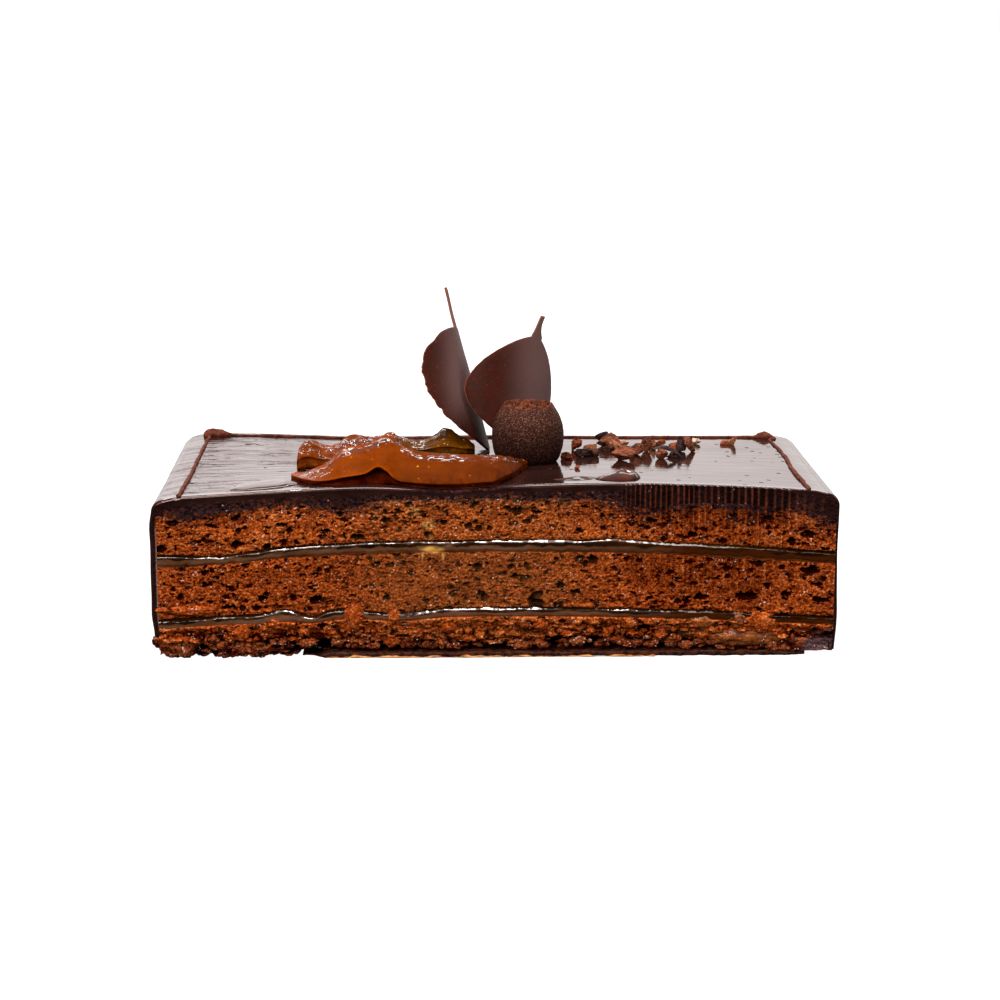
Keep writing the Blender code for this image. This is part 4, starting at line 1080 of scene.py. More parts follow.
def glaze_finish():
    """Dark mirror glaze with faint streaks and tiny bubbles, dull where the knife cut it."""
    finish = Finish("mirror_glaze", IOR=1.5, Specular_IOR_Level=0.5, Specular_Tint=(0.58, 0.17, 0.12),
                    Coat_Roughness=0.04)
    base = tuple(colours().glaze)
    cloud = finish.ranged(finish.noise(140, 3), 0.35, 0.65)
    finish.set("Base Color", finish.mix(cloud, scaled(base, 0.75), scaled(base, 1.4)))
    streaks = finish.noise(1, 4, 0.55, finish.stretched((80, 360, 120)), 0.5)
    creases = finish.ranged(finish.noise(1, 3, 0.5, finish.stretched((130, 460, 120)), 0.4), 0.60, 0.65)
    ripples = finish.noise(55, 2, 0.5)
    across = finish.along("X", finish.place)
    above = finish.ranged(finish.height(), 0.0245, 0.0262)
    left = finish.ranged(across, -0.026, -0.042) * above
    right = finish.ranged(across, 0.024, 0.034)
    bubbles = finish.ranged(finish.cells(360), 0.07, 0.15)
    sparse = finish.ranged(finish.noise(70, 1) + right * 0.05, 0.50, 0.54)
    pits = (1 - (1 - bubbles) * sparse) * (0.8 + above * 2.6)
    finish.set("Roughness", 0.04 + finish.ranged(streaks, 0.52, 0.66) * 0.10)
    finish.set("Coat Weight", finish.written("edge"))
    finish.bump(streaks * (0.30 + left * 1.3) + creases * left * 1.5 + ripples * 0.60 + pits, 0.00016)

    mottle = finish.ranged(finish.noise(1300, 4, 0.65, finish.stretched((1, 1, 1.3))), 0.38, 0.64)
    band = finish.mix(mottle, (0.006, 0.0025, 0.003), (0.048, 0.020, 0.021))
    specks = finish.ranged(finish.noise(1700, 3, 0.6), 0.52, 0.62) * finish.written("speck")
    band = finish.mix(specks, band, (0.230, 0.055, 0.014))
    # Painted shade in the knife's grooves, painted highlights on the ridges between them, and painted glints
    groove_shade_colour = finish.mix(mottle, (0.004, 0.001, 0.001), (0.016, 0.006, 0.007))
    band = finish.mix(finish.written("slot"), band, groove_shade_colour)
    band = finish.mix(finish.written("ridge"), band, (0.210, 0.046, 0.016))
    band = finish.painted_glints(band, 1500, 0.60, 0.64, (0.45, 0.32, 0.32))
    # Painted highlight: a light line down each glossy cut end, where the glaze would catch a reflection
    band = finish.mix(finish.written("seam"), band, (0.42, 0.24, 0.20))
    finish.blend(finish.written("cut"), {
        "Base Color": band, "Specular IOR Level": 0.02, "Roughness": 0.5,
        "Normal": finish.bumps(mottle, 0.00022)})
    return finish


def bevel_size(x):
    """Size of the rounded front edge, smaller where the knife combed the glaze."""
    return (0.62 - 0.32 * eased(x, 18 * MM, 25 * MM)) * MM


def glaze_wave(x, y):
    """Slow waves of the poured glaze."""
    return 0.05 * MM * rough(x / (11 * MM), y / (7 * MM), 0, 81)


def glaze_band(spots):
    """Cut band of the glaze, with the values that its colours follow."""
    share = np.linspace(0, 1, BAND_ROWS)[:, None]
    low = level("glaze_bottom", spots, FRONT_Y) - GLAZE_OVERLAP
    low = low + 0.30 * MM * rougher(spots / (0.9 * MM), 0, 0, 84)
    z = low + (glaze_top(spots, FRONT_Y) - bevel_size(spots) - low) * share
    x = np.broadcast_to(spots, z.shape)
    combed, crest = comb_ridge(spots)
    fade = 1 - 0.3 * eased(share, 0.85, 1)
    soft = 0.09 * rough(x / (3.5 * MM), z / (1.5 * MM), 0, 87)
    soft = soft + 0.05 * rougher(x / (1.0 * MM), z / (0.7 * MM), 0, 88)
    depth = (0.05 + 0.32 * comb(spots) * fade + soft) * MM
    ragged = 0.10 * rougher(spots / (1.4 * MM), 0, 0, 90)
    return np.stack([x, FRONT_Y + depth, z], -1), {
        # Painted highlight on the ridges and painted shade in the grooves
        "ridge": combed * crest * fade * (0.75 + 0.5 * rough(x / (0.9 * MM), z / (2 * MM), 0, 89)),
        "speck": np.exp(-(z - z[0]) / (1.0 * MM)) * (1 - 0.5 * combed),
        "slot": comb(spots),
        "cut": 1 - eased(share, 0.62 + 0.30 * combed + ragged, 0.80 + 0.35 * combed + ragged),
    }


def glaze_sheet(spots):
    """Cut band, rounded edge and top of the glaze as one grid, with the values of its colours."""
    band, shades = glaze_band(spots)
    bevel = bevel_size(spots)
    top_front = glaze_top(spots, FRONT_Y)
    notch = 0.20 * comb(spots) * MM
    rim = [np.stack([spots, FRONT_Y + inward * bevel + notch, top_front - fall * bevel], -1)
           for inward, fall in BEVEL]
    start = FRONT_Y + bevel + notch
    end = corner_back(spots, HALF_LENGTH, HALF_DEPTH, CORNER_RADIUS) - EDGE_RADIUS
    steps = np.linspace(0, 1, TOP_ROWS + 1)[1:, None]
    y = start + (end - start) * steps
    z = glaze_top(spots, y) + glaze_wave(spots, y) * steps
    top = np.stack([np.broadcast_to(spots, y.shape), y, z], -1)
    sheet = np.concatenate([band, np.stack(rim), top], 0)
    values = {label: np.zeros(sheet.shape[:2]) for label in END_VALUES}
    for label, shade in shades.items():
        values[label][:BAND_ROWS] = shade
    rim_rows = slice(BAND_ROWS, BAND_ROWS + len(BEVEL))
    # Under the front fruit the rounded edge has no coat and takes the cut band's colours
    under_fruit = np.exp(-((spots / MM + 5.6) / 9.6) ** 6)
    values["edge"][rim_rows] = 1 - under_fruit
    values["cut"][rim_rows] = 0.95 * under_fruit
    return sheet, values


def glaze_wall(sheet):
    """Ends and back of the glaze, from the rim of the top down to the hem and in under it."""
    path = np.concatenate([sheet[BAND_ROWS:, 0], sheet[-1, 1:-1], sheet[BAND_ROWS:, -1][::-1]])
    drop = np.zeros(len(path))
    for index, (_, fall) in enumerate(BEVEL):
        drop[index] = fall * bevel_size(path[0, 0])
        drop[-1 - index] = fall * bevel_size(path[-1, 0])
    out = np.zeros((len(path), 3))
    out[:, 0] = np.sign(path[:, 0]) * np.maximum(np.abs(path[:, 0]) - (HALF_LENGTH - CORNER_RADIUS), 0)
    out[:, 1] = np.maximum(path[:, 1] - (HALF_DEPTH - CORNER_RADIUS), 0)
    out /= np.linalg.norm(out, axis=1)[:, None]
    along = run_length(path)
    hem = HEM_LEFT + (HEM_RIGHT - HEM_LEFT) * (path[:, 0] + HALF_LENGTH) / (2 * HALF_LENGTH)
    hem = hem + 0.45 * MM * rough(along / (6 * MM), 0, 0, 91)
    hem = hem + 0.22 * MM * rough(along / (2.1 * MM), 0, 0, 92)
    reach = EDGE_RADIUS - drop
    start = path[:, 2] - reach
    strips = []
    for angle in np.radians(np.linspace(0, 90, EDGE_ROWS + 1))[1:]:
        strips.append((reach * np.sin(angle), path[:, 2] - reach * (1 - np.cos(angle)), 0.0))
    for row in range(1, FALL_ROWS + 1):
        part = row / FALL_ROWS
        strips.append((reach, start + (hem - start) * part, np.sin(pi * min(part * 3, 0.5))))
    for inward, lift in HEM_TURN:
        strips.append((reach - inward * MM, hem + lift * MM, 0.0))
    left_end = path[:, 0] < -HALF_LENGTH + CORNER_RADIUS
    wall = []
    for offset, height, wave in strips:
        waves = 0.22 * rough(along / (9 * MM), height / (8 * MM), 0, 93) - 0.08
        waves = waves + 0.10 * rough(along / (2.6 * MM), height / (5 * MM), 0, 94)
        waves = waves + 0.42 * left_end * eased(height, 4 * MM, 8 * MM)
        spot = path + out * (offset + wave * waves * MM)[:, None]
        spot[:, 2] = height
        wall.append(spot)
    return np.stack(wall)


def glaze_end(side, sheet, wall):
    """Thickness of the glaze at one end of the cut, with the values of its colours."""
    column = 0 if side < 0 else -1
    rows = EDGE_ROWS + FALL_ROWS + 1
    outline = np.concatenate([sheet[BAND_ROWS:BAND_ROWS + 1, column], wall[:rows, column]])
    low = level("glaze_bottom", side * INNER_HALF, FRONT_Y) - GLAZE_OVERLAP
    turn = np.clip((np.abs(outline[:, 0]) - INNER_HALF) / EDGE_RADIUS, 0, 1)
    reach = CORE_HALF - INNER_HALF + side * float(spread(side * CORE_HALF))
    inner = outline.copy()
    inner[:, 0] = side * (INNER_HALF + reach * np.minimum(turn * 1.2, 1))
    inner[:, 2] = np.minimum(outline[:, 2], low)
    end = np.stack([outline + (inner - outline) * part / END_SPLIT for part in range(END_SPLIT + 1)], 1)
    hollow = np.abs(0.08 * MM * rough(end[..., 2] / (1.7 * MM), end[..., 0] / (0.5 * MM), 0, 95))
    hollow[:, 0] = 0
    end[..., 1] += hollow
    values = {label: np.full(end.shape[:2], amount) for label, amount in END_VALUES.items()}
    # Painted highlight line down the rounded outer edge of each cut end, stronger on the left
    lit = eased(outline[:, 2], 4 * MM, 9 * MM) * eased(low - outline[:, 2], 0.6 * MM, 2.5 * MM)
    values["seam"][:, END_SPLIT - 1:] = (0.22 if side > 0 else 0.75) * lit[:, None]
    return end, values


def build_glaze():
    """Poured glaze: cut band with knife ridges, top, rounded edges, sides and hem."""
    spots = np.concatenate([np.arange(-INNER_HALF, COMBING[0], 0.2 * MM), np.arange(*COMBING, 0.12 * MM),
                            np.linspace(COMBING[1], INNER_HALF, 28)])
    sheet, values = glaze_sheet(spots)
    wall = glaze_wall(sheet)
    rows, across = sheet.shape[:2]
    side = np.arange(BAND_ROWS, rows) * across
    rim = np.concatenate([side, (rows - 1) * across + np.arange(1, across - 1), (side + across - 1)[::-1]])
    below = rows * across + np.arange(len(rim))
    faces = grid_faces(rows, across).tolist()
    faces += grid_faces(len(wall), len(rim), rows * across).tolist()
    faces += np.stack([rim[:-1], rim[1:], below[1:], below[:-1]], -1).tolist()
    points = [sheet.reshape(-1, 3), wall.reshape(-1, 3)]
    shades = {label: [grid.reshape(-1), np.zeros(len(points[1]))] for label, grid in values.items()}
    for side in (-1, 1):
        end, end_values = glaze_end(side, sheet, wall)
        faces += grid_faces(*end.shape[:2], sum(map(len, points))).tolist()
        points.append(end.reshape(-1, 3))
        for label, grid in end_values.items():
            shades[label].append(grid.reshape(-1))
    place_piece("glaze_coat", np.concatenate(points), faces, glaze_finish(), "glaze", ("glaze",),
                {label: np.concatenate(parts) for label, parts in shades.items()}, sharp=50)


def smooth_path(points, step):
    """Points at even steps on a smooth curve through the given points."""
    places = np.array([points[0], *points, points[-1]], float)
    path = []
    for index in range(1, len(places) - 2):
        before, start, end, after = places[index - 1:index + 3]
        count = max(int(np.linalg.norm(end - start) / step), 2)
        path.append(spline(before, start, end, after, np.arange(count)[:, None] / count))
    path.append(places[-1:])
    return np.concatenate(path)


def chocolate_finish(name, dark, light, scale, roughness):
    """Set chocolate with a mottled satin surface."""
    finish = Finish(name, Specular_IOR_Level=0.02)
    mottle = finish.ranged(finish.noise(scale, 4), 0.36, 0.64)
    finish.set("Base Color", finish.mix(mottle, dark, light))
    finish.set("Roughness", roughness + mottle * 0.15)
    finish.bump(finish.noise(scale * 2.2, 3), 0.00005)
    return finish


def build_line():
    """Piped chocolate line, uneven as it was squeezed out, with its thick corners."""
    path = smooth_path(LINE_POINTS, 0.35) * MM
    along = run_length(path)
    direction = np.gradient(path, axis=0)
    direction /= np.linalg.norm(direction, axis=1)[:, None]
    side = np.stack([direction[:, 1], -direction[:, 0], 0 * along], -1)
    sway = 0.10 * MM * rough(along / (3.3 * MM), 0, 0, 101)
    radius = sizes().line_radius * (1 + 0.16 * rough(along / (1.6 * MM), 0, 0, 102)
                                    + 0.10 * rough(along / (5 * MM), 0, 0, 103))
    radius = radius * (0.74 - 0.18 * eased(path[:, 1], -10 * MM, 18 * MM))
    corner = np.zeros(len(path))
    for x, y, amount, back_reach, side_reach in LINE_CORNERS:
        away = along - along[np.argmin(np.hypot(path[:, 0] - x * MM, path[:, 1] - y * MM))]
        reach = np.where((away > 0) == (x < 0), back_reach, side_reach) * MM
        corner = np.maximum(corner, amount * np.exp(-np.abs(away / reach) ** 3))
    radius = radius * (1 + corner)
    centre = np.stack([path[:, 0], path[:, 1], glaze_top(path[:, 0], path[:, 1]) + 0.12 * MM], -1)
    centre[:, 2] += 0.14 * MM * corner
    centre += side * sway[:, None]
    angle = np.linspace(0, 2 * pi, 14, endpoint=False)
    radius = radius[:, None] * (1 + 0.16 * rough(along[:, None] / (0.35 * MM), angle * 1.5, 0, 105))
    rings = centre[:, None] + side[:, None] * (radius * np.cos(angle))[..., None]
    rings[..., 2] += radius * np.sin(angle)
    finish = chocolate_finish("piped_chocolate", (0.060, 0.016, 0.009), (0.185, 0.056, 0.034), 900, 0.55)
    place_piece("piped_line", rings, ring_faces(len(path), len(angle)), finish, "glaze")


def build_smear():
    """Wedge of glaze pushed up at the front edge, and a thin spill beside it."""
    bodies = []
    points, faces = ball(5)
    along, aside, up = points.T
    flow = rougher(along * 1.2, aside * 1.2, 0, 111)
    wedge = (0.30 + 0.70 * eased(along, -0.9, 0.35)) * (1 - 0.55 * eased(along, 0.75, 1.0))
    for x, y, long, wide, high in SMEARS:
        rise = high * wedge * (1 + 0.30 * aside) * (1 + 0.25 * rough(along * 2, aside * 2, 0, 112))
        body = np.stack([long * (along + 0.10 * flow) + 0.9 * aside,
                         wide * aside * (0.45 + 0.55 * eased(along, -1, -0.2)) * (1 + 0.15 * flow),
                         np.sign(up) * np.abs(up) ** 0.8 * rise], -1)
        body = body * MM + np.array([x * MM, y * MM, 0])
        body[:, 1] = np.maximum(body[:, 1], FRONT_Y + 0.02 * MM)
        body[:, 2] += glaze_top(body[:, 0], body[:, 1])
        bodies.append((body, faces))
    finish = Finish("glaze_drop", Specular_IOR_Level=0.03, Coat_Roughness=0.08)
    swirl = finish.ranged(finish.noise(420, 3), 0.4, 0.6)
    finish.set("Base Color", finish.mix(swirl, (0.024, 0.006, 0.004), (0.080, 0.021, 0.012)))
    finish.set("Roughness", 0.35 + swirl * 0.2)
    finish.set("Coat Weight", finish.ranged(finish.noise(330, 2), 0.57, 0.60))
    body, body_faces = join_lists(bodies)
    place_piece("glaze_drop", body, body_faces, finish, "glaze")


def nib_body(index, x, y, length, width, height, turn, pitch, arch):
    """Broken cocoa nib: a ball cut flat on many sides, with a grooved, torn surface."""
    points, faces = ball(5 if length > 2.5 else 4)
    draw = np.random.default_rng(300 + index)
    planes = draw.normal(size=(NIB_SIDES, 3))
    planes /= np.linalg.norm(planes, axis=1)[:, None]
    limits = draw.uniform(0.34, 0.72, NIB_SIDES) / np.maximum(points @ planes.T, 0.001)
    tone = draw.uniform(0, 1, NIB_SIDES)[limits.argmin(1)]
    body = points * np.minimum(limits.min(1), 1.1)[:, None]
    low = body.min(0)
    high = body.max(0)
    body = (body - (low + high) / 2) / (high - low) * np.array([length, width, height])
    grooves = rough(body[:, 0] * 0.8 + index * 9, body[:, 1] * 4.5, body[:, 2] * 4.5, 140 + index)
    torn = rougher(body[:, 0] * 1.6, body[:, 1] * 2.2, body[:, 2] * 2.2, 120 + index, 4)
    body = body + points * (0.06 * grooves - 0.12 * np.abs(torn) + 0.04)[:, None] * min(height, 1.4)
    body[:, 2] += arch * (2 * body[:, 0] / length) ** 2
    matrix = np.array(Euler((0, radians(pitch), radians(turn))).to_matrix())
    body = body @ matrix.T
    body[:, 2] -= body[:, 2].min() + 0.15
    return body * MM + np.array([x * MM, y * MM, float(glaze_top(x * MM, y * MM))]), faces, tone


def nib_finish(look, dark, light):
    """Roasted cocoa: a grain along the nib, its own tone on each broken side, and dark cracks."""
    finish = Finish("nib_" + look, Specular_IOR_Level=0.08)
    grain = finish.noise(800, 5, 0.75, finish.stretched((1, 2.6, 2.6)))
    share = finish.ranged(grain, 0.42, 0.60) * 0.6 + finish.written("tone") * 0.6 - 0.1
    # Painted shade in the cracks
    cracks = finish.ranged(finish.noise(1500, 4, 0.7), 0.55, 0.62)
    finish.set("Base Color", finish.mix(cracks * 0.85, finish.mix(share, dark, light), scaled(dark, 0.3)))
    finish.set("Roughness", 0.40 + grain * 0.4)
    finish.bump(finish.noise(2200, 4, 0.7), 0.00020)
    return finish


def build_nibs():
    """Roasted cocoa nibs, one piece for each colour."""
    for look, (dark, light) in NIB_LOOKS.items():
        bodies = [nib_body(index, *row[:8]) for index, row in enumerate(NIBS) if row[8] == look]
        points, faces = join_lists([body[:2] for body in bodies])
        tones = np.concatenate([body[2] for body in bodies])
        place_piece("nibs_" + look, points, faces, nib_finish(look, dark, light), "glaze",
                    values={"tone": tones}, sharp=30)


def leaf_width(share, shape):
    """Half width of a petal along its middle line."""
    widest, low_power, low_root, high_power, high_root = shape
    below = np.clip((widest - share) / widest, 0, 1)
    above = np.clip((share - widest) / (1 - widest), 0, 1)
    lower = (1 - below ** low_power) ** low_root
    upper = (1 - above ** high_power) ** high_root
    return np.where(share < widest, lower, upper)


def petal_finish():
    """Tempered dark chocolate: a grey sheen on one side, reddish specks on the other, a broken rim."""
    finish = Finish("tempered_chocolate", IOR=1.5, Specular_IOR_Level=0.05, Specular_Tint=(1.0, 0.80, 0.76))
    base = tuple(colours().chocolate)
    cloud = finish.ranged(finish.noise(160, 3), 0.35, 0.65)
    sheen = finish.written("sheen")
    dark = finish.mix(cloud, scaled(base, 0.58), scaled(base, 0.95))
    red = finish.ranged(finish.noise(520, 4, 0.65), 0.47, 0.60) * (1 - sheen)
    dark = finish.mix(red * 0.75, dark, (0.050, 0.008, 0.004))
    grains = finish.ranged(finish.noise(2600, 3), 0.62, 0.70) * (1 - sheen * 0.6)
    dark = finish.mix(grains * 0.5, dark, scaled(base, 3.4))
    colour = finish.mix(sheen, dark, (0.156, 0.090, 0.083))
    finish.set("Base Color", finish.mix(finish.written("rim"), colour, (0.300, 0.078, 0.030)))
    finish.set("Roughness", 0.42 + cloud * 0.10)
    finish.bump(finish.noise(900, 3), 0.00005)
    return finish


def leaf_sheen(name, x, z):
    """Where a petal shines: a streak on the left one, the right side on the right one."""
    if name == "leaf_left":
        streak = np.exp(-((x + 6.3 - 0.07 * (44 - z)) / 2.3) ** 2) + 0.7 * eased(x, -5.5, -3.5)
        return 0.75 * np.clip(streak, 0, 1) * eased(z, 33, 42)
    return 0.95 * eased(x, 1.0, 10.0) * (1 - 0.25 * eased(z, 44, 52)) * eased(z, 27, 36)


def petal_outline(name, leaf):
    """Heights up a petal and its stalk, half widths left and right, and the stalk's lean."""
    share = 0.5 - 0.5 * np.cos(np.linspace(0, pi, 110))
    root = np.where(share > 0.5, leaf["stalk_half"] + leaf["flare"], leaf["tip_half"])
    width = leaf_width(share, leaf["shape"])
    ragged = 1 + 0.018 * rough(share * 16, 0, 0, leaf["seed"])
    ragged = ragged + 0.010 * rough(share * 50, 0, 0, leaf["seed"] + 1)
    left = np.maximum(width * leaf["left"] * ragged, root)
    right = np.maximum(width * leaf["right"] * (2 - ragged), root)
    if name == "leaf_left":
        left = left - 0.35 * np.exp(-((share - 0.36) / 0.012) ** 2)
        left = left - 0.55 * np.exp(-((share - 0.905) / 0.032) ** 2)
    part = np.linspace(0, 1, 22)[1:]
    stalk = leaf["stalk_half"] + leaf["flare"] * (1 - part) ** 3
    height = np.concatenate([[-PETAL_SUNK], share * leaf["body"], leaf["body"] + part * leaf["stalk"]])
    left = np.concatenate([[leaf["tip_half"]], left, stalk])
    right = np.concatenate([[leaf["tip_half"]], right, stalk])
    lean = np.concatenate([[0], 0 * share, leaf["stalk_lean"] * part ** 2])
    return [values[:, None] for values in (height, left, right, lean)]


def build_leaves():
    """Two chocolate petals with stalks, stuck in the glaze."""
    finish = petal_finish()
    across = np.sin(np.linspace(-pi / 2, pi / 2, 33))
    half_thick = 0.25 * np.sqrt(np.clip(1 - np.abs(across) ** 10, 0, 1))
    for name, leaf in LEAVES.items():
        height, left, right, lean = petal_outline(name, leaf)
        reach = np.where(across < 0, left, right) * across
        angle = reach / leaf["bend"]
        wave = 0.10 * rough(reach / 4, height / 5, 0, leaf["seed"] + 2)
        sides = []
        for sign in (1, -1):
            bend = leaf["bend"] + sign * half_thick + wave
            sides.append(np.stack([bend * np.sin(angle) + lean, leaf["bend"] - bend * np.cos(angle),
                                   height + 0 * angle], -1))
        ring = np.concatenate([sides[0], sides[1][:, -2:0:-1]], 1)
        turn = Euler((radians(leaf["lean"]), radians(leaf["tilt"]), radians(leaf["turn"])), "ZXY").to_matrix()
        points = ring @ np.array(turn).T * MM + np.array(leaf["foot"]) * MM
        edge = np.clip((np.abs(across) - 0.985) / 0.012, 0, 1) * np.ones(height.shape)
        edge[-2:] = 1
        rim = np.concatenate([edge, edge[:, -2:0:-1]], 1)
        sheen = leaf_sheen(name, points[..., 0] / MM, points[..., 2] / MM)
        place_piece(name + "_petal", points, ring_faces(len(height), ring.shape[1]), finish,
                    "dark_chocolate", (name,), {"rim": rim, "sheen": sheen}, sharp=60)


def curl_finish(base):
    """Velvet chocolate with pale specks, lighter towards the top and reddish where it is torn."""
    finish = Finish("velvet_chocolate", Specular_IOR_Level=0.08, Specular_Tint=(1.0, 0.75, 0.65))
    mottle = finish.ranged(finish.noise(4200, 2, 0.5), 0.52, 0.66)
    # Painted light and shade: near black at the foot, lighter towards the top
    rise = finish.ranged(finish.height(), base, base + 0.0095)
    dark = finish.mix(rise, (0.004, 0.0012, 0.001), (0.044, 0.014, 0.009))
    light = finish.mix(rise, (0.048, 0.016, 0.010), (0.225, 0.100, 0.066))
    tear = finish.ranged(finish.noise(1100, 4), 0.38, 0.62)
    torn = finish.mix(tear, (0.022, 0.004, 0.002), (0.22, 0.060, 0.026))
    finish.set("Base Color", finish.mix(finish.written("torn"), finish.mix(mottle, dark, light), torn))
    finish.set("Roughness", 0.62 - mottle * 0.22)
    finish.bump(finish.noise(3000, 3, 0.6), 0.00016)
    return finish


def curl_oval(angle, share):
    """How far the curl is from round at a share of its height."""
    return 1 + 0.02 * np.sin(3 * angle + 1) * share


def curl_wall(angle, rim):
    """Outside of the curl, slightly oval, with its grain and a torn rim, and where it is torn."""
    heights, radii = np.array(CURL_PROFILE).T
    top = heights[-1]
    rows = np.linspace(0, top, 76)
    smooth = np.interp(rows, heights, radii)
    for _ in range(5):
        smooth[1:-1] = 0.25 * smooth[:-2] + 0.5 * smooth[1:-1] + 0.25 * smooth[2:]
    rows = rows[:, None]
    x = np.cos(angle)
    y = np.sin(angle)
    radius = smooth[:, None] * curl_oval(angle, rows / top)
    grain = 0.060 * np.abs(rough(x * radius / 0.34, y * radius / 0.34, rows / 0.30, 151))
    grain = grain + 0.03 * rough(x * radius / 0.16, y * radius / 0.16, rows / 0.15, 152)
    radius = radius + grain - 0.03
    z = rows + rim * eased(rows, top - 1.2, top)
    torn = eased(rows, top - 0.5, top - 0.15) + 0 * angle
    return np.stack([radius * x, radius * y, z], -1), torn


def curl_lid(angle, rim):
    """Rolled layers inside the rim of the curl, and where they are torn."""
    top, radius = CURL_PROFILE[-1]
    x = np.cos(angle)
    y = np.sin(angle)
    share = np.linspace(1, 0.01, 48)[1:, None]
    reach = radius * share * curl_oval(angle, 1)
    spiral = 3.3 * share + angle / (2 * pi) + 0.12 * rough(x * share * 3, y * share * 3, 0, 154)
    crest = eased(np.abs(spiral % 1 - 0.5) * 2, 0.35, 0.75)
    rip = rougher(x * reach / 0.8, y * reach / 0.8, 0, 155, 4)
    z = top - 1.25 + 1.05 * crest * (0.75 + 0.5 * rip) + 0.15 * rip
    outermost = eased(share, 0.90, 0.99)
    z = z * (1 - outermost) + (top + rim) * outermost
    return np.stack([reach * x, reach * y, z], -1), 0.6 + 0.4 * crest


def build_curl():
    """Rolled chocolate curl with a velvet grain, torn rim and rolled layers on top."""
    angle = np.linspace(0, 2 * pi, CURL_CORNERS, endpoint=False)
    rim = 0.22 * rougher(np.cos(angle) * 5, np.sin(angle) * 5, 0, 153, 3)
    wall, wall_torn = curl_wall(angle, rim)
    lid, lid_torn = curl_lid(angle, rim)
    rings = np.concatenate([wall, lid], 0)
    base = float(glaze_top(CURL_X * MM, CURL_Y * MM))
    points = rings * MM + np.array([CURL_X * MM, CURL_Y * MM, base - 0.1 * MM])
    place_piece("chocolate_curl_roll", points, ring_faces(len(rings), CURL_CORNERS), curl_finish(base),
                "rolled_chocolate", ("chocolate_curl",), {"torn": np.concatenate([wall_torn, lid_torn], 0)},
                sharp=70)


def cut_corners(outline, times):
    """Closed outlines of many sections with their corners cut off."""
    for _ in range(times):
        following = np.roll(outline, -1, axis=1)
        rounded = np.stack([outline * 0.75 + following * 0.25, outline * 0.25 + following * 0.75], 2)
        outline = rounded.reshape(outline.shape[0], -1, outline.shape[2])
    return outline


def section_rows(sections, count):
    """Sections blended smoothly at many places along the fruit."""
    table = np.array(sections, float)
    spot = np.linspace(0, len(table) - 1, count)
    index = np.minimum(spot.astype(int), len(table) - 2)
    before = table[np.maximum(index - 1, 0)]
    after = table[np.minimum(index + 2, len(table) - 1)]
    return spline(before, table[index], table[index + 1], after, (spot - index)[:, None])


def fruit_finish(name, light, dark, brown):
    """Candied fruit: a dull translucent cut face with wet rims and folds."""
    finish = Finish(name, IOR=1.46, Subsurface_Weight=0.25, Subsurface_Scale=0.002,
                    Subsurface_Radius=(1.0, 0.35, 0.08), Specular_IOR_Level=0.02,
                    Specular_Tint=(1.0, 0.7, 0.5), Coat_Roughness=0.03, Coat_IOR=2.1)
    cloud = finish.ranged(finish.noise(150, 3, distortion=0.4), 0.36, 0.64)
    fibres = finish.ranged(finish.noise(1, 4, 0.6, finish.stretched((160, 420, 900))), 0.40, 0.62)
    colour = finish.mix(cloud, dark, light)
    warm = finish.mix(cloud, scaled(light, 1.25), scaled(light, 1.7))
    colour = finish.mix(finish.written("warm"), colour, warm)
    colour = finish.mix(fibres * 0.25, colour, brown)
    spots = finish.ranged(finish.noise(850, 4, 0.7), 0.48, 0.56)
    colour = finish.mix(finish.written("low") * spots * 0.9, colour, brown)
    dots = finish.ranged(finish.cells(760), 0.16, 0.10)
    few = finish.ranged(finish.noise(300, 1), 0.50, 0.60)
    colour = finish.mix(dots * few * 0.8, colour, (0.75, 0.33, 0.01))
    colour = finish.mix(finish.written("wet") * 0.6, colour, brown)
    # Painted light: the thin lip brighter, as light through it would make it; painted shade: near black under
    # the arch
    colour = finish.mix(finish.written("lip"), colour, scaled(light, 2.4))
    colour = finish.mix(finish.written("cave"), colour, (0.030, 0.0015, 0.0002))
    finish.set("Base Color", colour)
    finish.set("Roughness", 0.35 + cloud * 0.15)
    finish.set("Coat Weight", finish.written("wet"))
    finish.bump(finish.noise(700, 3), 0.00006)
    return finish


def fruit_wetness(name, x, y, z, rise, seed):
    """Wet rims and folds of a piece of fruit, as a share of gloss."""
    broken = np.clip(0.5 + 2.4 * rougher(x / 0.9, y / 1.1, z / 0.8, seed + 8, 2), 0, 1)
    rim = eased(rise, 0.80, 0.86) * (1 - eased(rise, 0.94, 0.99)) * broken
    streaks = 1 - 3.2 * np.abs(rougher(x / 2.2, y / 1.4, z / 0.9, seed + 7, 2))
    folds = eased(streaks, 0.74, 0.92)
    if name == "apricot_front":
        folds = folds * eased(-x, 24, 30) * eased(rise, 0.35, 0.7)
    elif name == "apricot_left":
        folds = folds * eased(rise, 0.40, 0.65)
    else:
        rim = 0.6 * rim
        folds = 0.5 * folds
    return np.clip(np.maximum(rim, folds), 0, 1)


def fruit_outline(x, foot_y, lip_y, lip_height, ridge_y, ridge_height, back_y, ground):
    """Eight points round the fruit at each place: foot, lip, swell, ridge, slope and back."""
    swell_y = lip_y + (ridge_y - lip_y) * 0.45 - 0.35
    swell_z = lip_height + (ridge_height - lip_height) * 0.58
    corners = (
        (foot_y, 0 * x), (lip_y + 0.35, lip_height + 0.05), (lip_y - 0.05, lip_height + 0.25),
        (swell_y, swell_z), (ridge_y - 0.25, ridge_height), (ridge_y + 0.20, ridge_height),
        (ridge_y + (back_y - ridge_y) * 0.6, ridge_height * 0.62), (back_y, 0 * x),
    )
    return np.stack([np.stack([x, y, ground + z], -1) for y, z in corners], 1)


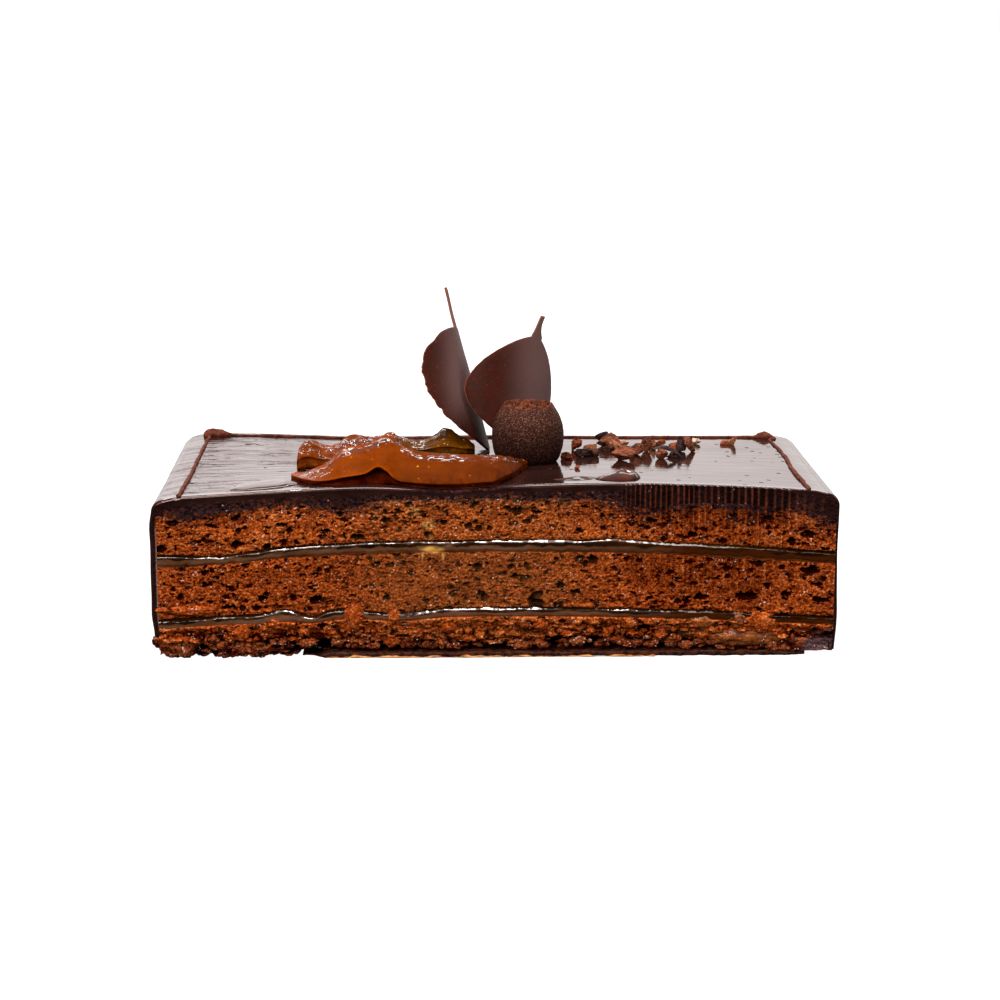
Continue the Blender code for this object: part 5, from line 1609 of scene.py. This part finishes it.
def fruit_body(name, seed, fold, cuts):
    """Rings of points round a piece of fruit with its folds and wrinkles, and its colours' values."""
    front = name == "apricot_front"
    table = section_rows(FRUIT[name], 220).T
    ground = glaze_top(table[0] * MM, table[1] * MM) / MM
    rings = cut_corners(fruit_outline(*table, ground), cuts)
    lip_height, ridge_y, ridge_height = [table[row][:, None] for row in (3, 4, 5)]
    out = rings - rings.mean(1, keepdims=True)
    out /= np.linalg.norm(out, axis=2, keepdims=True) + 1e-9
    a, b, c = rings[..., 0], rings[..., 1], rings[..., 2]
    above = c - ground[:, None]
    rise = above / np.maximum(ridge_height, 0.8)
    folds = fold * rougher(a / 2.9, b / 2.2, c / 1.8, seed, 3)
    crease = 0.08 * rough(a / 0.9, b / 0.9, c / 0.6, seed + 5)
    bead = 0.16 * np.exp(-((rise - 0.86) / 0.05) ** 2) * (b < ridge_y + 0.3)
    bead = bead * np.clip(0.8 + 1.4 * rough(a / 0.7, b / 0.9, c / 0.9, seed + 9), 0, 1.6)
    wet = fruit_wetness(name, a, b, c, rise, seed)
    wrinkle = 0.17 * wet * (1 - 2.2 * np.abs(rougher(a / 0.9, b / 0.9, c / 0.8, seed + 14, 2)))
    skin = (folds + crease) * np.clip(above / 2, 0.15, 1) + bead + wrinkle
    warm = eased(-a, 12, 25) if front else 0.2 * eased(-a, 30.0, 32.0)
    rings = rings + out * skin[..., None]
    floor = glaze_top(rings[..., 0] * MM, rings[..., 1] * MM) / MM
    rings[..., 1] = np.maximum(rings[..., 1], FRONT_Y / MM - 0.1)
    rings[..., 2] = np.maximum(rings[..., 2], floor - 0.05)
    low = np.clip(1 - (rings[..., 2] - floor) / 2.6, 0, 1) ** 0.8
    if front:
        low = low * eased(rings[..., 0], -17, -11)
    spot = np.arange(rings.shape[1]) / 2 ** cuts + 0.5 * (1 - 0.5 ** cuts) + 0 * low
    arch = eased(lip_height, 0.9, 1.5)
    # Painted shade under the arch of the front fruit, and painted light along its thin lip
    cave = front * (1 - eased(spot, 0.9, 1.3)) * (0.25 + 0.75 * arch)
    lip = 0.7 * front * np.exp(-((spot - 1.75) / 0.22) ** 2) * arch
    return rings, {"low": low, "wet": wet, "cave": cave, "lip": lip, "warm": warm}


def build_apricots():
    """Three pieces of candied apricot with folded, wrinkled skins."""
    base = tuple(colours().apricot)
    amber = fruit_finish("candied_apricot", scaled(base, 1.28), scaled(base, 0.84), (0.050, 0.005, 0.0005))
    olive = fruit_finish("candied_apricot_olive", (0.130, 0.042, 0.001), (0.070, 0.020, 0.001),
                         (0.035, 0.008, 0.001))
    brown = fruit_finish("candied_apricot_rim", (0.290, 0.062, 0.005), (0.100, 0.015, 0.0006),
                         (0.045, 0.004, 0.0003))
    for name, finish, slot_name, seed, fold, cuts in (
        ("apricot_front", amber, "apricot", 160, 0.10, 4),
        ("apricot_left", brown, "apricot", 170, 0.60, 4),
        ("apricot_right", olive, "olive_apricot", 180, 0.40, 3),
    ):
        rings, values = fruit_body(name, seed, fold, cuts)
        place_piece(name + "_flesh", rings * MM, ring_faces(*rings.shape[:2]), finish, slot_name,
                    (name,), values, sharp=80)
    build_gel_and_shade()
    build_puddle()


def build_gel_and_shade():
    """Dark gel that fills the hollow under the front fruit."""
    finish = Finish("apricot_gel_shade", IOR=1.46, Specular_IOR_Level=0.0, Specular_Tint=(1.0, 0.6, 0.5))
    cloud = finish.ranged(finish.noise(300, 3), 0.38, 0.62)
    finish.set("Base Color", finish.mix(cloud, (0.030, 0.002, 0.0003), (0.120, 0.012, 0.001)))
    finish.set("Roughness", 0.50 + cloud * 0.2)
    x, foot_y, lip_y, lip_height = section_rows(FRUIT["apricot_front"], 150).T[:4]
    ground = glaze_top(x * MM, foot_y * MM) / MM
    wavy = 0.25 * rough(x / 1.7, 0, 0, 191)
    outline = np.stack([
        np.stack([x, lip_y + 0.5 + wavy, ground - 0.1], -1),
        np.stack([x, lip_y + 0.9 + wavy, ground + 0.35], -1),
        np.stack([x, lip_y + 1.6, ground + lip_height * 0.9], -1),
        np.stack([x, foot_y + 2.6, ground + lip_height * 0.9], -1),
        np.stack([x, foot_y + 2.6, ground - 0.1], -1),
    ], 1)
    rings = cut_corners(outline, 2)
    floor = glaze_top(rings[..., 0] * MM, rings[..., 1] * MM) / MM
    rings[..., 2] = np.maximum(rings[..., 2], floor - 0.05)
    place_piece("apricot_gel_shade", rings * MM, ring_faces(*rings.shape[:2]), finish, "apricot", sharp=80)


def build_puddle():
    """Flat puddle of clear gel on the glaze beside the front fruit."""
    points, faces = ball(5)
    flow = rougher(points[:, 0] * 1.1, points[:, 1] * 1.1, 0, 193)
    body = points * np.array(PUDDLE_HALF) * (1 + 0.16 * flow)[:, None]
    body[:, 0] += 0.35 * body[:, 1]
    body = body * MM + np.array([*PUDDLE_PLACE, 0]) * MM
    body[:, 1] = np.maximum(body[:, 1], FRONT_Y + 0.9 * MM)
    body[:, 2] += glaze_top(body[:, 0], body[:, 1])
    finish = Finish("clear_gel", IOR=1.5, Specular_IOR_Level=0.5, Specular_Tint=(0.9, 0.45, 0.35),
                    Roughness=0.04)
    cloud = finish.ranged(finish.noise(200, 2), 0.4, 0.6)
    finish.set("Base Color", finish.mix(cloud, (0.020, 0.007, 0.005), (0.034, 0.012, 0.008)))
    place_piece("gel_puddle", body, faces, finish, "glaze", sharp=80)


def build_world(scene):
    """White backdrop for the camera, with a dim studio and the white ground behind for reflections."""
    world = bpy.data.worlds.new("studio")
    world.use_nodes = True
    scene.world = world
    sky = Nodes(world.node_tree)
    direction = sky.node("ShaderNodeTexCoord", output="Generated")
    up = sky.along("Z", direction)
    behind = sky.along("Y", direction)
    room = sky.ranged(up, -0.15, 0.6, ROOM_LOW, ROOM_HIGH)
    ground = sky.ranged(up, 0.06, -0.02, 0.0, GROUND_BEHIND) * sky.ranged(behind, 0.25, 0.75)
    seen = sky.node("ShaderNodeLightPath", output="Is Camera Ray")
    sky.feed(world.node_tree.nodes["Background"].inputs["Color"], sky.mix(seen, ground + room, (1, 1, 1)))


def build_floor(scene):
    """White floor that only the camera sees."""
    mesh = bpy.data.meshes.new("floor")
    corners = [(x * FLOOR_REACH, y * FLOOR_REACH, 0) for x, y in ((-1, -1), (1, -1), (1, 1), (-1, 1))]
    mesh.from_pydata(corners, [], [(0, 1, 2, 3)])
    finish = Finish("floor_white", Base_Color=(0.3, 0.3, 0.3), Roughness=1.0, Specular_IOR_Level=0.0,
                    Emission_Color=(1, 1, 1), Emission_Strength=0.97)
    mesh.materials.append(finish.material)
    floor = bpy.data.objects.new("floor", mesh)
    floor.visible_diffuse = False
    floor.visible_glossy = False
    floor.visible_transmission = False
    scene.collection.objects.link(floor)


def build_lamps(scene):
    """Soft panels that look at the cake and that the camera doesn't see."""
    target = Vector((0, 0, 0.02))
    for name, place, wide, high, radiance in LAMPS:
        light = bpy.data.lights.new(name, "AREA")
        light.shape = "RECTANGLE"
        light.size = wide
        light.size_y = high
        light.energy = radiance * pi * wide * high
        light.color = WARM
        lamp = bpy.data.objects.new(name, light)
        lamp.location = place
        lamp.rotation_euler = (target - Vector(place)).to_track_quat("-Z", "Y").to_euler()
        lamp.visible_camera = False
        scene.collection.objects.link(lamp)


def build_camera(scene):
    """The photograph's camera."""
    camera = bpy.data.cameras.new("camera")
    camera.lens = CAMERA_LENS
    camera.sensor_width = 36
    camera.clip_start = 0.01
    eye = bpy.data.objects.new("camera", camera)
    scene.collection.objects.link(eye)
    eye.location = Vector(CAMERA_PLACE) * MM
    down = radians(CAMERA_DOWN)
    yaw = radians(CAMERA_YAW)
    ahead = Vector((sin(yaw) * cos(down), cos(yaw) * cos(down), -sin(down)))
    eye.rotation_euler = ahead.to_track_quat("-Z", "Y").to_euler()
    scene.camera = eye


def build_stage():
    """White floor, world light, soft panels and the photograph's camera."""
    scene = bpy.context.scene
    build_floor(scene)
    build_world(scene)
    build_lamps(scene)
    build_camera(scene)
    scene.view_settings.view_transform = "Standard"


def make_operator(key, label, text, work):
    """Operator class that builds one group of pieces."""
    def execute(self, context):
        work()
        return {"FINISHED"}

    names = {"bl_idname": "cake." + key, "bl_label": label, "bl_options": {"REGISTER", "UNDO"},
             "__doc__": text, "execute": execute}
    return type("CAKE_OT_" + key, (bpy.types.Operator,), names)


OPERATORS = [
    make_operator("sponges", "Sponge layers", "Builds the three sponge layers", build_sponges),
    make_operator("jams", "Jam layers", "Builds the two jam layers", build_jams),
    make_operator("base", "Foot and sheet", "Builds the dark foot and the sheet", build_base),
    make_operator("crumbs", "Loose crumbs", "Builds the loose crumbs", build_crumbs),
    make_operator("glaze", "Glaze coat", "Builds the glaze", build_glaze),
    make_operator("line", "Piped line", "Builds the piped line", build_line),
    make_operator("smear", "Glaze drop", "Builds the drop at the front edge", build_smear),
    make_operator("nibs", "Cocoa nibs", "Builds the cocoa nibs", build_nibs),
    make_operator("apricots", "Candied apricots", "Builds the candied fruit", build_apricots),
    make_operator("leaves", "Chocolate petals", "Builds the two petals", build_leaves),
    make_operator("curl", "Chocolate curl", "Builds the rolled curl", build_curl),
    make_operator("stage", "Studio stage", "Builds floor, lights and camera", build_stage),
]


class CAKE_PT_panel(bpy.types.Panel):
    """Sidebar panel that lists the cake's settings and operators."""
    bl_idname = "CAKE_PT_panel"
    bl_label = "Chocolate Layer Cake"
    bl_space_type = "VIEW_3D"
    bl_region_type = "UI"
    bl_category = "Cake"

    def draw(self, context):
        for group in (context.scene.cake_sizes, context.scene.cake_colours):
            for key in group.__annotations__:
                self.layout.prop(group, key)
        for operator in OPERATORS:
            self.layout.operator(operator.bl_idname)


CLASSES = [CakeSizes, CakeColours, *OPERATORS, CAKE_PT_panel]


def register():
    for each in CLASSES:
        bpy.utils.register_class(each)
    bpy.types.Scene.cake_sizes = bpy.props.PointerProperty(type=CakeSizes)
    bpy.types.Scene.cake_colours = bpy.props.PointerProperty(type=CakeColours)


def unregister():
    del bpy.types.Scene.cake_sizes
    del bpy.types.Scene.cake_colours
    for each in reversed(CLASSES):
        bpy.utils.unregister_class(each)


def main():
    """Registers the add-on, builds every piece and writes both boxes."""
    register()
    for operator in OPERATORS:
        getattr(bpy.ops.cake, operator.bl_idname.split(".")[1])()


if __name__ == "__main__":
    main()
